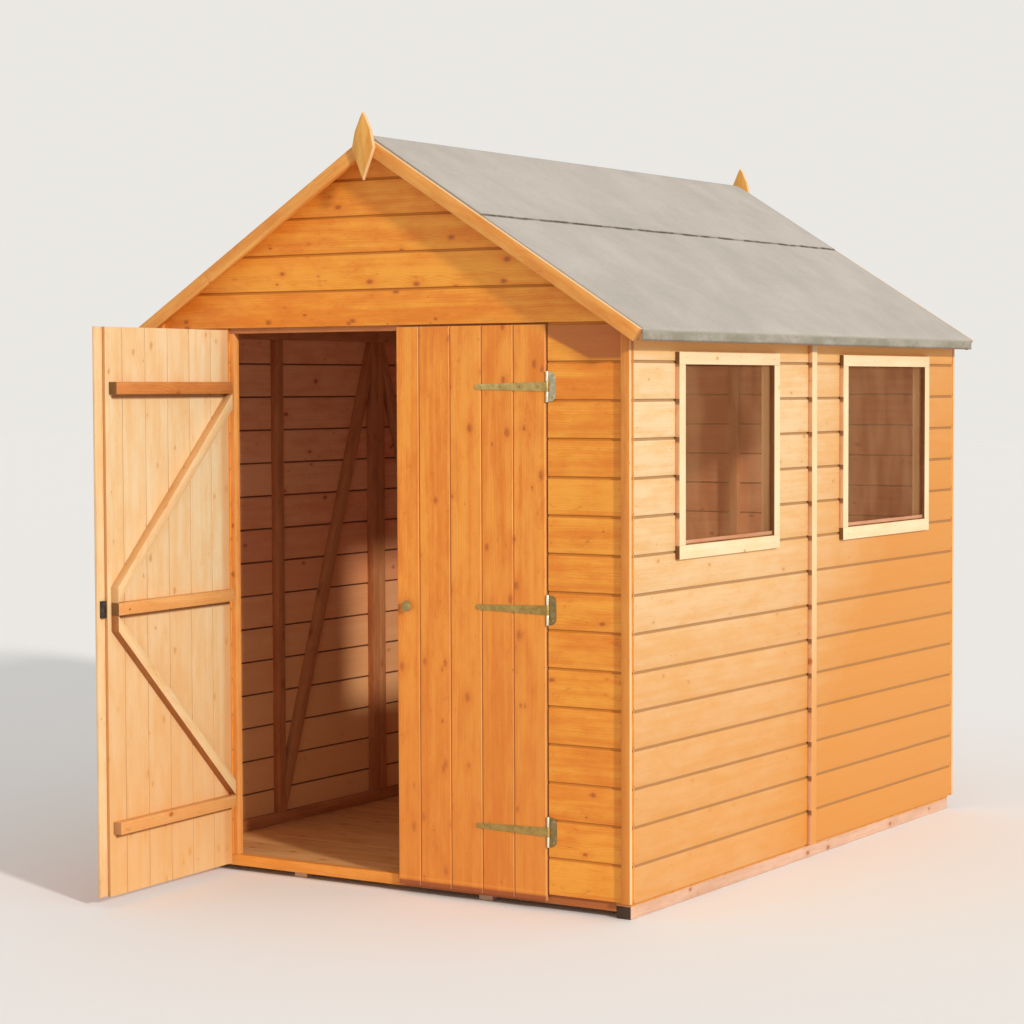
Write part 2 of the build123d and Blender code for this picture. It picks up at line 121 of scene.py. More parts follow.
# the nodes of one material, or of the world
class Paint:
    def __init__(self, owner):
        self.owner = owner
        owner.use_nodes = True
        self.tree = owner.node_tree
        self.tree.nodes.clear()

    def node(self, kind, settings=None, sockets=None, out=0):
        made = self.tree.nodes.new(kind)
        for key, value in (settings or {}).items():
            setattr(made, key, value)
        for key, value in (sockets or {}).items():
            if isinstance(value, Wire):
                self.tree.links.new(value.socket, made.inputs[key])
            else:
                made.inputs[key].default_value = value
        return Wire(self, made.outputs[out]) if made.outputs else None

    def also(self, wire, out):  # another output of a node that is already there
        return Wire(self, wire.socket.node.outputs[out])

    def attribute(self, name, out):
        return self.node("ShaderNodeAttribute", {"attribute_name": name}, out=out)

    def place(self):  # in metres, from the origin of the frame
        return self.node("ShaderNodeTexCoord", out="Object")

    def parts(self, vector):
        first = self.node("ShaderNodeSeparateXYZ", None, {0: vector})
        return first, self.also(first, 1), self.also(first, 2)

    def vector(self, x, y, z):
        return self.node("ShaderNodeCombineXYZ", None, {0: x, 1: y, 2: z})

    def stretch(self, vector, scales):
        return self.node("ShaderNodeVectorMath", {"operation": "MULTIPLY"}, {0: vector, 1: scales})

    def noise(self, vector, scale, detail=2.0, rough=0.5, turn=None):
        settings = {"noise_dimensions": "3D" if turn is None else "4D"}
        sockets = {"Vector": vector, "Scale": scale, "Detail": detail, "Roughness": rough}
        if turn is not None:
            sockets["W"] = turn
        return self.node("ShaderNodeTexNoise", settings, sockets)

    def mix(self, share, first, second):
        first = first if isinstance(first, Wire) else (*first, 1)
        second = second if isinstance(second, Wire) else (*second, 1)
        return self.node("ShaderNodeMix", {"data_type": "RGBA"}, {0: share, 6: first, 7: second}, out=2)

    def finish(self, colour, rough, height=None, lift=0.0005, fixed=None):
        sockets = {"Base Color": colour, "Roughness": rough}
        if height is not None:
            bump = {"Strength": 0.6, "Distance": lift, "Height": height}
            sockets["Normal"] = self.node("ShaderNodeBump", None, bump)
        sockets.update(fixed or {})
        surface = self.node("ShaderNodeBsdfPrincipled", None, sockets)
        self.node("ShaderNodeOutputMaterial", None, {"Surface": surface})
        return self.owner


def newPaint(name):
    return Paint(bpy.data.materials.new(name))


# the usual stained softwood; a finish names what differs from it
timberLook = {
    "light": (1.0, 0.425, 0.047), "deep": (0.85, 0.250, 0.018), "late": (0.60, 0.155, 0.014),
    "knot": (0.41, 0.095, 0.012), "seam": (0.60, 0.215, 0.022), "low": (0.85, 0.36, 0.06),
    "boardSpread": 0.30, "streak": 0.70, "fleck": 0.75, "lines": 150.0, "lateShare": 0.22, "swirl": 3.4,
    "knotsPerMetre": 6.0, "knotsAcross": 17.0, "knotShare": 0.42, "knotRadius": 0.0085, "knotDepth": 0.8,
    "ragged": 0.008, "seamShare": 0.9, "seamDeep": (0.0080, 0.0112), "lowShare": 0.0, "lowTop": 1.35,
    "rearShare": 0.0, "rough": 0.58, "lift": 0.0006,
    "foot": None, "notch": None, "wing": None, "eaves": None, "shade": None, "under": None, "hung": None,
}
# layers of figure: scales along, across and through the board, detail, roughness, turn with the seed
figureLayers = {
    "drift": ((0.9, 9.0, 9.0), 2.0, 0.5, 40.0),
    "streak": ((1.6, 46.0, 46.0), 3.0, 0.6, 71.0),
    "cloud": ((7.0, 22.0, 22.0), 4.0, 0.62, 17.0),
    "fibre": ((14.0, 520.0, 520.0), 3.0, 0.6, None),
    "fleck": ((34.0, 80.0, 80.0), 3.0, 0.65, 9.0),
}
# where stains and painted shade begin and end, in metres of height, from the middle line, along the shed or
# from the pins;
# the dark marks at the board scoops in shares of a board's cover
stainAndShadePlaces = {
    "lowFrom": 0.05, "rear": (-0.5, 1.15), "foot": (0.010, 0.019), "paleLine": 0.024, "paleSharp": 210.0,
    "notch": (0.80, 0.90), "eaves": (1.655, 1.705), "bargeFoot": 1.731, "bargeFall": 0.46, "bargeEnd": 1.664,
    "shadeEdge": (-0.004, 0.008), "shadeTop": (1.772, 1.778), "shadeSide": (0.60, 0.612),
    "hung": (0.036, 0.062), "ledgeFoot": 0.019, "bandStart": (-0.017, -0.012), "bandEnd": (-0.001, 0.001),
    "ledgeEnd": (0.614, 0.621), "wing": (0.035, 0.085),
}


# one knot may sit in each cell along the board: the way from its middle over its radius
def knotRatio(paint, look, space, seed, along, across):
    perMetre, perAcross = look["knotsPerMetre"], look["knotsAcross"]
    cellAlong = along * perMetre
    cellAcross = across * perAcross + seed * 93.0
    cells = {"Vector": paint.vector(cellAlong, cellAcross, 0.0), "Scale": 1.0, "Randomness": 0.95}
    cell = paint.node("ShaderNodeTexVoronoi", {"voronoi_dimensions": "2D"}, cells)
    knotAlong, knotAcross, _ = paint.parts(paint.also(cell, "Position"))
    chance = paint.parts(paint.also(cell, "Color"))[0]
    gapAlong = (knotAlong - cellAlong) * (0.62 / perMetre)
    gapAcross = (knotAcross - cellAcross) * (1.0 / perAcross)
    wobble = (paint.noise(space, 150.0, 3.0) - 0.5) * look["ragged"]
    away = (gapAlong * gapAlong + gapAcross * gapAcross).root() + wobble
    radius = chance.ramp(1 - look["knotShare"], 1.0, 0.0, look["knotRadius"]) + 0.0001
    return away / radius


# the stains, and the painted shade, that lie in certain places of the shed
def addStainsAndShade(paint, look, colour, cloud):
    right, back, height = paint.parts(paint.place())
    spots = stainAndShadePlaces
    if look["lowShare"]:  # paler high up, warmer low down and towards the back
        low = height.ramp(spots["lowFrom"], look["lowTop"], look["lowShare"], 0.0)
        low = low + back.ramp(*spots["rear"], 0.0, look["rearShare"])
        colour = paint.mix((low + (cloud - 0.5) * 0.25).most(0.0).least(0.95), colour, look["low"])
    if look["foot"]:  # damp stain along the lowest edge, under a paler line
        foot, damp = look["foot"]
        start, end = (foot + rise for rise in spots["foot"])
        colour = paint.mix(height.ramp(start, end, 0.85, 0.0), colour, damp)
        offLine = ((height - foot - spots["paleLine"]) * spots["paleSharp"]).size().least(1.0)
        colour = paint.mix((1 - offLine) * 0.4, colour, look["light"])
    if look["notch"]:  # painted shade in the gaps where the scoops of the wall boards end at this timber
        notch = ((height - shed["wallBottom"]) / shed["boardCover"] % 1.0).ramp(*spots["notch"])
        colour = paint.mix(notch * 0.85, colour, look["notch"])
    if look["eaves"]:  # painted shade: more orange close under the roof, where the eaves' shadow falls
        colour = paint.mix(height.ramp(*spots["eaves"], 0.0, 0.85), colour, look["eaves"])
    if look["shade"]:  # painted shadow of the barge board: darker below its foot
        line = spots["bargeFoot"] - (right.size() - shed["jamb"]) * spots["bargeFall"]
        line = line.most(spots["bargeEnd"])
        zone = (height - line).ramp(*spots["shadeEdge"]) * (1 - height.ramp(*spots["shadeTop"]))
        colour = paint.mix(zone * right.size().ramp(*spots["shadeSide"]) * 0.85, colour, look["shade"])
    if look["under"]:  # painted shade under the ledges, and a warmer stain beside the hinges
        sideGap, rearGap = right.size() - leaf["pinX"], back - leaf["pinY"]
        reach = (sideGap * sideGap + rearGap * rearGap).root()
        colour = paint.mix((1 - reach.ramp(*spots["hung"])) * 0.55, colour, look["hung"])
        for level in leaf["hinges"]:
            drop = height - level + spots["ledgeFoot"]
            band = drop.ramp(*spots["bandStart"]) * (1 - drop.ramp(*spots["bandEnd"]))
            band = band * (1 - reach.ramp(*spots["ledgeEnd"]))
            colour = paint.mix(band * 0.72, colour, look["under"])
    if look["wing"]:  # in the shade of the closed leaf
        wing = (right + (cloud - 0.5) * 0.05).ramp(*spots["wing"])
        colour = paint.mix(wing * 0.85, colour, look["wing"])
    return colour


# stained softwood: streaks and growth lines along the board, knots with the grain pulled round them
def timberPaint(name, **changes):
    look = {**timberLook, **changes}
    paint = newPaint(name)
    space = paint.attribute("boardSpace", "Vector")
    seed = paint.attribute("boardSeed", "Fac")
    along, across, depth = paint.parts(space)

    def figure(scales, detail, rough, turn):
        return paint.noise(paint.stretch(space, scales), 1.0, detail, rough, turn and seed * turn)

    drift, streak, cloud, fibre, fleck = [figure(*layer) for layer in figureLayers.values()]
    fleck = fleck.ramp(0.55, 0.72)
    ratio = knotRatio(paint, look, space, seed, along, across)
    knot = 1 - ratio.ramp(0.45, 1.10)
    rim = 1 - ((ratio - 1.0) * 2.6).size().least(1.0)
    halo = 1 / (1 + ratio * ratio * 0.16)
    # growth lines
    field = across * look["lines"] + drift * 9.0 + halo * look["swirl"] + depth * 40.0
    late = ((field * math.tau).sine() * 0.5 + 0.5) ** 3.0
    tone = (seed * 13.7 % 1.0 - 0.5) * look["boardSpread"]
    mixed = (streak - 0.5) * look["streak"] * 2.0 + (drift - 0.5) * 0.7 + (cloud - 0.5) * 1.6
    colour = paint.mix((mixed + 0.5 + tone).ramp(0.04, 0.96), look["light"], look["deep"])
    colour = paint.mix(late * look["lateShare"], colour, look["late"])
    colour = paint.mix((fibre - 0.45).most(0.0) * 0.6, colour, look["late"])
    colour = paint.mix(fleck * cloud.ramp(0.44, 0.64) * look["fleck"], colour, look["late"])
    colour = paint.mix((halo - 0.22).most(0.0) * 0.85, colour, look["deep"])
    colour = paint.mix(rim * 0.35, colour, look["late"])
    colour = paint.mix(knot * look["knotDepth"], colour, look["knot"])
    colour = addStainsAndShade(paint, look, colour, cloud)
    if look["seamShare"]:  # stain and dust gather in the joints
        edge = depth.ramp(0.0005, 0.0030) * (1 - depth.ramp(*look["seamDeep"]))
        colour = paint.mix(edge * look["seamShare"], colour, look["seam"])
    rough = look["rough"] + (streak - 0.5) * 0.16 + knot * -0.12
    bumps = late * 0.35 + fibre * 0.8 + knot * 0.6 - rim * 0.6
    return paint.finish(colour, rough, bumps, look["lift"])


# timber away from the joints between boards
def sawnPaint(name, light, deep, late=timberLook["late"], **changes):
    return timberPaint(name, light=light, deep=deep, late=late, seamShare=0.0, **changes)


# sawn ends: rings about a heart somewhere beside the piece
def endPaint(name, light, dark):
    paint = newPaint(name)
    space = paint.attribute("boardSpace", "Vector")
    seed = paint.attribute("boardSeed", "Fac")
    _, across, depth = paint.parts(space)
    sideways = across + 0.02 - seed * 0.05
    down = depth + 0.02
    rings = (sideways * sideways + down * down).root() * 420.0 + paint.noise(space, 60.0) * 1.2
    late = (rings * math.tau).sine() * 0.5 + 0.5
    grit = paint.noise(space, 700.0, 3.0)
    colour = paint.mix(late * 0.6, light, dark)
    colour = paint.mix(grit * 0.35, colour, dark)
    return paint.finish(colour, 0.8 + (grit - 0.5) * 0.2, late * 0.4 + grit, 0.0008)


# heights between which the moss at the eaves, darkened with painted shade on the drip, and the dark edge at
# the eaves fade out
feltLook = {
    "stone": (0.43, 0.39, 0.35), "pale": (0.56, 0.51, 0.455), "dark": (0.23, 0.205, 0.178),
    "mossAndShade": (0.25, 0.225, 0.16), "seam": (0.115, 0.085, 0.062), "edge": 0.012, "seamHalf": 0.415,
    "mossAndShadeDrip": (1.740, 1.754), "darkDrip": (1.7165, 1.7235),
}


# mineral-faced felt: fine stone granules, soft mottling, a dark line under the lap, darker along the gable
# edges
def feltPaint(name, look):
    paint = newPaint(name)
    place = paint.place()
    x, y, z = paint.parts(place)
    grain = paint.node("ShaderNodeTexVoronoi", None, {"Vector": place, "Scale": 620.0, "Randomness": 1.0})
    speck = paint.parts(paint.also(grain, "Color"))[0]
    mottle = paint.noise(place, 5.0, 5.0, 0.65)
    patch = paint.noise(paint.stretch(place, (1.0, 0.5, 1.0)), 1.6, 3.0, 0.55)
    fine = paint.noise(place, 70.0, 4.0, 0.7)
    cloudy = (mottle * 0.6 + patch * 0.5 + fine * 0.25 - 0.17).ramp(0.25, 0.75)
    colour = paint.mix(cloudy, look["stone"], look["pale"])
    colour = paint.mix((speck - 0.55).most(0.0) * 0.55, colour, look["dark"])
    colour = paint.mix((0.25 - speck).most(0.0) * 0.9, colour, look["pale"])
    blotch = paint.noise(paint.stretch(place, (1.0, 0.45, 1.0)), 17.0, 4.0, 0.7)
    # moss on the drip, darkened further as painted shade
    drip = 1 - (z + (blotch - 0.5) * 0.014).ramp(*look["mossAndShadeDrip"])
    colour = paint.mix(drip * blotch.ramp(0.32, 0.62, 0.5, 0.95), colour, look["mossAndShade"])
    drip = 1 - (z + (fine - 0.5) * 0.008).ramp(*look["darkDrip"])
    colour = paint.mix(drip * 0.7, colour, look["seam"])
    ragged = y + (fine - 0.5) * 0.01
    side = ragged.ramp(shed["roofBack"] - look["edge"], shed["roofBack"])
    side = side + ragged.ramp(shed["roofFront"], shed["roofFront"] + look["edge"], 1.0, 0.0)
    colour = paint.mix(side * 0.5, colour, look["dark"])
    wander = paint.noise(paint.vector(0.0, y, 0.0), 7.0, 3.0, 0.6)
    offSeam = (x.size() - look["seamHalf"] + (wander - 0.5) * 0.012).size()
    broken = paint.noise(paint.vector(0.0, y, 3.0), 11.0, 3.0, 0.6)
    seam = (1 - offSeam.ramp(0.0012, 0.0062)) * broken.ramp(0.36, 0.56, 0.25, 0.9)
    colour = paint.mix(seam, colour, look["seam"])
    return paint.finish(colour, 0.9 + (fine - 0.5) * 0.1, grain * -0.6 + fine * 0.5 + mottle * 0.8, 0.0012)


def metalPaint(name, light, dark, metallic, rough, scale=60.0):
    paint = newPaint(name)
    place = paint.place()
    cloud = paint.noise(place, scale, 4.0, 0.6)
    spot = paint.noise(place, scale * 9, 3.0, 0.6)
    stain = paint.noise(place, scale * 0.4, 3.0, 0.6).ramp(0.45, 0.7)
    colour = paint.mix(cloud.ramp(0.3, 0.7), light, dark)
    colour = paint.mix(spot.ramp(0.6, 0.8) * 0.35, colour, dark)
    rough = rough + stain * 0.18 + (spot - 0.5) * 0.1
    return paint.finish(colour, rough, cloud * 0.6 + spot * 0.4, 0.0002, {"Metallic": metallic})


def glassPaint(name, tint, streakTint, alpha):
    paint = newPaint(name)
    place = paint.place()
    cloud = paint.noise(paint.stretch(place, (1.0, 3.0, 1.2)), 2.6, 4.0, 0.6)
    dust = paint.noise(place, 90.0, 3.0, 0.6)
    colour = paint.mix(cloud.ramp(0.35, 0.65), tint, streakTint)
    cover = alpha + (cloud - 0.5) * 0.12 + (dust - 0.5) * 0.02
    fixed = {"Alpha": cover, "IOR": 1.45, "Specular IOR Level": 0.12}
    return paint.finish(colour, 0.06 + dust * 0.04, fixed=fixed)


paints = {
    "front": timberPaint("honeyBoards", shade=(0.50, 0.135, 0.028)),
    "side": timberPaint(
        "paleBoards", light=(0.83, 0.62, 0.36), deep=(0.79, 0.50, 0.22), late=(0.70, 0.37, 0.12),
        knot=(0.44, 0.18, 0.045), seam=(0.38, 0.18, 0.055), low=(0.67, 0.26, 0.034),
        eaves=(0.88, 0.42, 0.085), lowShare=0.78, lowTop=1.70, rearShare=0.86, boardSpread=0.26,
        knotShare=0.30, knotRadius=0.0065, knotDepth=0.65, ragged=0.012, fleck=0.5, lateShare=0.19,
        streak=0.95, seamShare=0.80),
    # inner faces of the boards: the same timber, tinted redder as painted shade
    "inside": timberPaint(
        "shadedInsideBoards", light=(0.95, 0.46, 0.22), deep=(0.84, 0.31, 0.135), late=(0.62, 0.18, 0.07),
        knot=(0.30, 0.07, 0.025), seam=(0.14, 0.035, 0.015), low=(0.97, 0.54, 0.21), lowShare=0.8,
        seamDeep=(0.0084, 0.0120), seamShare=1.0, boardSpread=0.75, lift=0.0003),
    "leafFront": timberPaint(
        "doorFront", light=(0.95, 0.375, 0.053), deep=(0.80, 0.225, 0.021), knot=(0.47, 0.105, 0.012),
        seam=(0.56, 0.28, 0.09), low=(0.72, 0.215, 0.027), foot=(leaf["bottom"], (0.30, 0.060, 0.016)),
        lowShare=0.5, knotRadius=0.0098, knotShare=0.56, ragged=0.014, lines=130.0, streak=0.85,
        seamShare=0.85),
    "leafBack": timberPaint(
        "doorBack", light=(0.83, 0.66, 0.41), deep=(0.79, 0.53, 0.26), late=(0.73, 0.42, 0.17),
        knot=(0.50, 0.24, 0.08), seam=(0.42, 0.19, 0.050), low=(0.75, 0.355, 0.10),
        under=(0.30, 0.115, 0.026), hung=(0.66, 0.27, 0.075), lowShare=0.62, seamDeep=(0.0104, 0.0119),
        lateShare=0.18, knotShare=0.62, knotRadius=0.0086, knotDepth=0.62, ragged=0.014, fleck=0.9,
        boardSpread=0.28),
    "frame": sawnPaint("frameTimber", (0.62, 0.25, 0.085), (0.48, 0.15, 0.045), (0.32, 0.085, 0.027),
                       lift=0.0010, rough=0.7),
    # window-wall framing painted paler, as painted sunlight through the glass
    "litFrame": sawnPaint("litWindowWallFrame", (0.98, 0.70, 0.40), (0.97, 0.62, 0.32), (0.90, 0.48, 0.20)),
    # door posts painted paler than the frame, as painted light in the gaps beside the leaves
    "jamb": sawnPaint("litJambTimber", (0.90, 0.43, 0.115), (0.74, 0.28, 0.06), rough=0.65),
    "ledge": sawnPaint("ledgeTimber", (0.66, 0.255, 0.065), (0.52, 0.165, 0.034), (0.36, 0.09, 0.018),
                       lift=0.0010),
    "midLedge": sawnPaint("middleLedgeTimber", (0.84, 0.45, 0.155), (0.76, 0.34, 0.095), (0.55, 0.20, 0.05),
                          lift=0.0010),
    "lowLedge": sawnPaint("lowLedgeTimber", (0.82, 0.45, 0.17), (0.75, 0.34, 0.10), (0.55, 0.21, 0.055),
                          lift=0.0010),
    "brace": sawnPaint("braceTimber", (0.83, 0.60, 0.33), (0.78, 0.48, 0.21), (0.68, 0.36, 0.13)),
    # painted shade for the braces: tan sides above, dark undersides below
    "shadedBraceSide": sawnPaint("shadedBraceSides", (0.69, 0.41, 0.17), (0.62, 0.33, 0.12)),
    "shadedBraceUnder": sawnPaint("shadedBraceUndersides", (0.40, 0.155, 0.038), (0.30, 0.10, 0.020)),
    "base": sawnPaint("baseTimber", (0.78, 0.50, 0.36), (0.64, 0.37, 0.24), (0.44, 0.24, 0.14),
                      rough=0.8, lift=0.0012),
    "floor": timberPaint("floorTimber", light=(0.82, 0.46, 0.18), deep=(0.66, 0.31, 0.10), rough=0.6),
    "sill": sawnPaint("sillTimber", (0.95, 0.38, 0.06), (0.80, 0.26, 0.03), wing=(0.38, 0.095, 0.022)),
    "trim": sawnPaint("trimTimber", (0.87, 0.72, 0.46), (0.85, 0.62, 0.34), (0.76, 0.48, 0.22),
                      knot=(0.55, 0.30, 0.10), knotShare=0.10, knotRadius=0.006, lateShare=0.16, fleck=0.3,
                      boardSpread=0.12),
    # front-facing sides of the trims, with painted shade where the board scoops end
    "trimSide": sawnPaint("trimSides", (0.80, 0.47, 0.26), (0.66, 0.34, 0.16), (0.50, 0.21, 0.08),
                          notch=(0.19, 0.070, 0.022)),
    # painted shade on the trim sides that face the pane
    "shadedTrimInside": sawnPaint("shadedTrimInsides", (0.26, 0.095, 0.035), (0.17, 0.055, 0.020), (0.10, 0.030, 0.010)),
    "bead": sawnPaint("beadTimber", (0.62, 0.32, 0.18), (0.50, 0.22, 0.10), knotShare=0.05),
    "strip": sawnPaint("stripTimber", (0.82, 0.35, 0.065), (0.70, 0.235, 0.032), low=(0.70, 0.235, 0.028),
                       lowShare=0.9, lowTop=1.6, knotShare=0.0),
    "joint": sawnPaint("jointTimber", (0.87, 0.70, 0.42), (0.84, 0.60, 0.30), (0.74, 0.45, 0.18),
                       low=(0.70, 0.28, 0.05), lowShare=1.05, knotShare=0.1, knotRadius=0.006, fleck=0.3,
                       boardSpread=0.1),
    "barge": sawnPaint("bargeTimber", (0.87, 0.405, 0.088), (0.73, 0.26, 0.040), knotShare=0.3,
                       knotRadius=0.006),
    # painted light: a pale copy for tops and sunny sides of barges, finials and strips
    "litFace": sawnPaint("litFaces", (0.86, 0.60, 0.34), (0.80, 0.48, 0.22), (0.66, 0.34, 0.12),
                          knotShare=0.1, knotRadius=0.005),
    "finial": sawnPaint("finialTimber", (0.83, 0.46, 0.108), (0.69, 0.32, 0.050), knotShare=0.1,
                        knotRadius=0.005),
    "roof": timberPaint("roofTimber", light=(0.62, 0.26, 0.08), deep=(0.46, 0.15, 0.04)),
    "end": endPaint("sawnEnds", (0.62, 0.30, 0.11), (0.30, 0.10, 0.03)),
    "paleEnd": endPaint("sawnBearerEnds", (0.84, 0.62, 0.45), (0.62, 0.37, 0.21)),
    "blackEnd": endPaint("shadedBearerEnds", (0.075, 0.038, 0.018), (0.035, 0.018, 0.009)),
    "darkEnd": endPaint("sawnLedgeEnds", (0.24, 0.10, 0.02), (0.12, 0.042, 0.010)),
    "felt": feltPaint("roofFelt", feltLook),
    "zinc": metalPaint("zincStrap", (0.64, 0.48, 0.18), (0.45, 0.32, 0.095), 0.35, 0.48),
    "lowZinc": metalPaint("lowZincStrap", (0.52, 0.36, 0.105), (0.36, 0.235, 0.058), 0.35, 0.52),
    "plate": metalPaint("hingePlate", (0.56, 0.50, 0.35), (0.38, 0.33, 0.20), 0.35, 0.48),
    "lowPlate": metalPaint("lowHingePlate", (0.30, 0.22, 0.085), (0.19, 0.135, 0.045), 0.35, 0.50),
    # paler zinc on the barrels, a painted highlight
    "knuckleHighlight": metalPaint("zincKnuckleHighlight", (0.88, 0.80, 0.62), (0.66, 0.58, 0.42), 0.45, 0.42),
    "brass": metalPaint("knobMetal", (0.50, 0.37, 0.15), (0.33, 0.23, 0.075), 0.45, 0.45),
    "nail": metalPaint("nailHeads", (0.52, 0.24, 0.07), (0.30, 0.12, 0.03), 0.2, 0.6, 200.0),
    "iron": metalPaint("blackIron", (0.085, 0.075, 0.065), (0.03, 0.026, 0.022), 0.6, 0.5),
    "glass": glassPaint("windowGlass", (0.42, 0.17, 0.055), (0.58, 0.28, 0.11), 0.17),
}
print("materials made:", len(paints))


# gathers closed solids, each with its own grain direction, and makes one piece of them
class Stack:
    def __init__(self):
        self.verts, self.faces, self.slots, self.spaces, self.seeds = [], [], [], [], []

    def add(self, verts, faces, slots, spaces, seed):
        base = len(self.verts)
        self.verts += [tuple(v) for v in verts]
        self.faces += [[base + i for i in face] for face in faces]
        self.slots += list(slots)
        self.spaces += [tuple(s) for s in spaces]
        self.seeds += [seed] * len(verts)

    def piece(self, name, body, slot, materials, node=None, sharp=34.0, reseat=None):
        mesh = bpy.data.meshes.new(name)
        verts = self.verts if reseat is None else [reseat(v) for v in self.verts]
        mesh.from_pydata(verts, [], self.faces)
        mesh.polygons.foreach_set("material_index", self.slots)
        spaces = mesh.attributes.new("boardSpace", "FLOAT_VECTOR", "POINT")
        spaces.data.foreach_set("vector", np.ravel(self.spaces))
        mesh.attributes.new("boardSeed", "FLOAT", "POINT").data.foreach_set("value", self.seeds)
        work = bmesh.new()
        work.from_mesh(mesh)
        bmesh.ops.recalc_face_normals(work, faces=work.faces)
        work.to_mesh(mesh)
        work.free()
        mesh.polygons.foreach_set("use_smooth", [True] * len(mesh.polygons))
        mesh.set_sharp_from_angle(angle=math.radians(sharp))
        for key in materials:
            mesh.materials.append(paints[key])
        made = bpy.data.objects.new(name, mesh)
        bpy.context.scene.collection.objects.link(made)
        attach(made, body)
        if node:
            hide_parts(node)


# turns a point drawn at the right-hand jamb into the left leaf, as it stands open
def toLeftOpen(point):
    turn = math.radians(-leaf["restAngle"])
    x, y = -point[0] + leaf["pinX"], point[1] - leaf["pinY"]
    return (-leaf["pinX"] + x * math.cos(turn) - y * math.sin(turn),
            leaf["pinY"] + x * math.sin(turn) + y * math.cos(turn), point[2])


# one board: a profile of (across, depth, material) swept along between two ends, with a slight bow
def addBoard(stack, profile, ends, place, bow=0.0005, step=0.22):
    seed = dice.random()
    shift = seed * grainShift
    spans = [ends(across, depth) for across, depth, _ in profile]
    parts = max(1, round(max(end - start for start, end in spans) / step))
    verts, spaces, faces, slots = [], [], [], []
    for i in range(parts + 1):
        for (across, depth, _), (start, end) in zip(profile, spans):
            along = start + (end - start) * i / parts
            sway = bow * softNoise.noise(Vector((along * 1.7 + shift, seed * 91.0, 0.0)))
            rise = bow * 0.7 * softNoise.noise(Vector((along * 2.3, seed * 57.0, 4.0)))
            verts.append(place(along, across + rise, depth + sway))
            spaces.append((along + shift, across, depth))
    count = len(profile)
    for i in range(parts):
        for j in range(count):
            k = (j + 1) % count
            faces.append([i * count + j, i * count + k, (i + 1) * count + k, (i + 1) * count + j])
            slots.append(profile[j][2])
    faces += [list(range(count)), [parts * count + j for j in range(count)]]
    slots += [profile[0][2]] * 2
    stack.add(verts, faces, slots, spaces, seed)


# shiplap board: arris at the bottom, cove at the top, a tongue behind the lip of the board above
shiplap = {
    "coveTall": 0.0085, "coveDeep": 0.0052, "coveSteps": 4, "arris": 0.0014, "insideArris": 0.0040,
    "gap": 0.0003, "lip": 0.0062, "tongue": 0.0050,
}


# lower edge of a board: the lip outside, and behind it the rebate for the tongue of the board below
def shiplapFoot(thick):
    arris, inside, gap, lip = shiplap["arris"], shiplap["insideArris"], shiplap["gap"], shiplap["lip"]
    foot = shiplap["tongue"] + 2 * gap
    start = [(gap, lip, 0), (gap, arris, 0), (gap + arris * 0.3, arris * 0.3, 0), (gap + arris, 0, 0)]
    finish = [(foot + inside, thick, 1), (foot, thick - inside, 0), (foot, lip, 0)]
    return start, finish


def shiplapProfile(cover, thick, tongued=True):
    inside, back = shiplap["insideArris"], shiplap["lip"] + shiplap["gap"]
    start, finish = shiplapFoot(thick)
    scoop = []
    for i in range(shiplap["coveSteps"] + 1):
        turn = math.radians(i * 90.0 / shiplap["coveSteps"])
        tall, deep = shiplap["coveTall"] * math.cos(turn), shiplap["coveDeep"] * math.sin(turn)
        scoop.append((cover - tall, deep, 0))
    if tongued:
        reach = cover + shiplap["tongue"]
        top = [(cover, back, 0), (reach, back, 1), (reach, thick - inside, 1), (reach - inside, thick, 1)]
    else:
        top = [(cover, thick - inside, 1), (cover - inside, thick, 1)]
    return start + scoop + top + finish


# top board of a wall, cut to the slope of the roof
def topProfile(tall, thick, slope):
    start, finish = shiplapFoot(thick)
    return start + [(tall, 0, 0), (tall + thick * slope, thick, 1)] + finish


# where tongue and groove stand in the thickness, how far they reach, and the play between them
tongueLook = {"near": 0.40, "far": 0.62, "reach": 0.0045, "play": 0.0005, "slack": 0.0002}


# tongued and grooved board: small bevels along both edges, inside and out
def doorProfile(cover, thick, bevel=0.0034, backBevel=0.0020, gap=0.0004, tongued=True, grooved=True):
    near, far, reach = thick * tongueLook["near"], thick * tongueLook["far"], tongueLook["reach"]
    points = [(gap, bevel, 0), (gap + bevel, 0, 0), (cover - gap - bevel, 0, 0), (cover - gap, bevel, 0)]
    if tongued:
        low, high = near + tongueLook["slack"], far - tongueLook["slack"]
        points += [(cover - gap, low, 0), (cover + reach - gap, low, 0),
                   (cover + reach - gap, high, 1), (cover - gap, high, 1)]
    points += [(cover - gap, thick - backBevel, 1), (cover - gap - backBevel, thick, 1),
               (gap + backBevel, thick, 1), (gap, thick - backBevel, 0)]
    if grooved:
        deep = gap + reach + tongueLook["play"]
        points += [(gap, far, 0), (deep, far, 0), (deep, near, 0), (gap, near, 0)]
    return points


def rowBottom(row):
    return shed["wallBottom"] + row * shed["boardCover"]


# from along, across and through the boards of a wall to the frame
places = {
    "front": lambda u, v, w: (u, -halfLength + w, v),
    "rear": lambda u, v, w: (u, halfLength - w, v),
    "right": lambda u, v, w: (halfWidth - w, u, v),
    "left": lambda u, v, w: (-halfWidth + w, u, v),
}
wallRows = range(shed["wallRows"])
frontPaints, sidePaints = ["front", "inside"], ["side", "inside"]


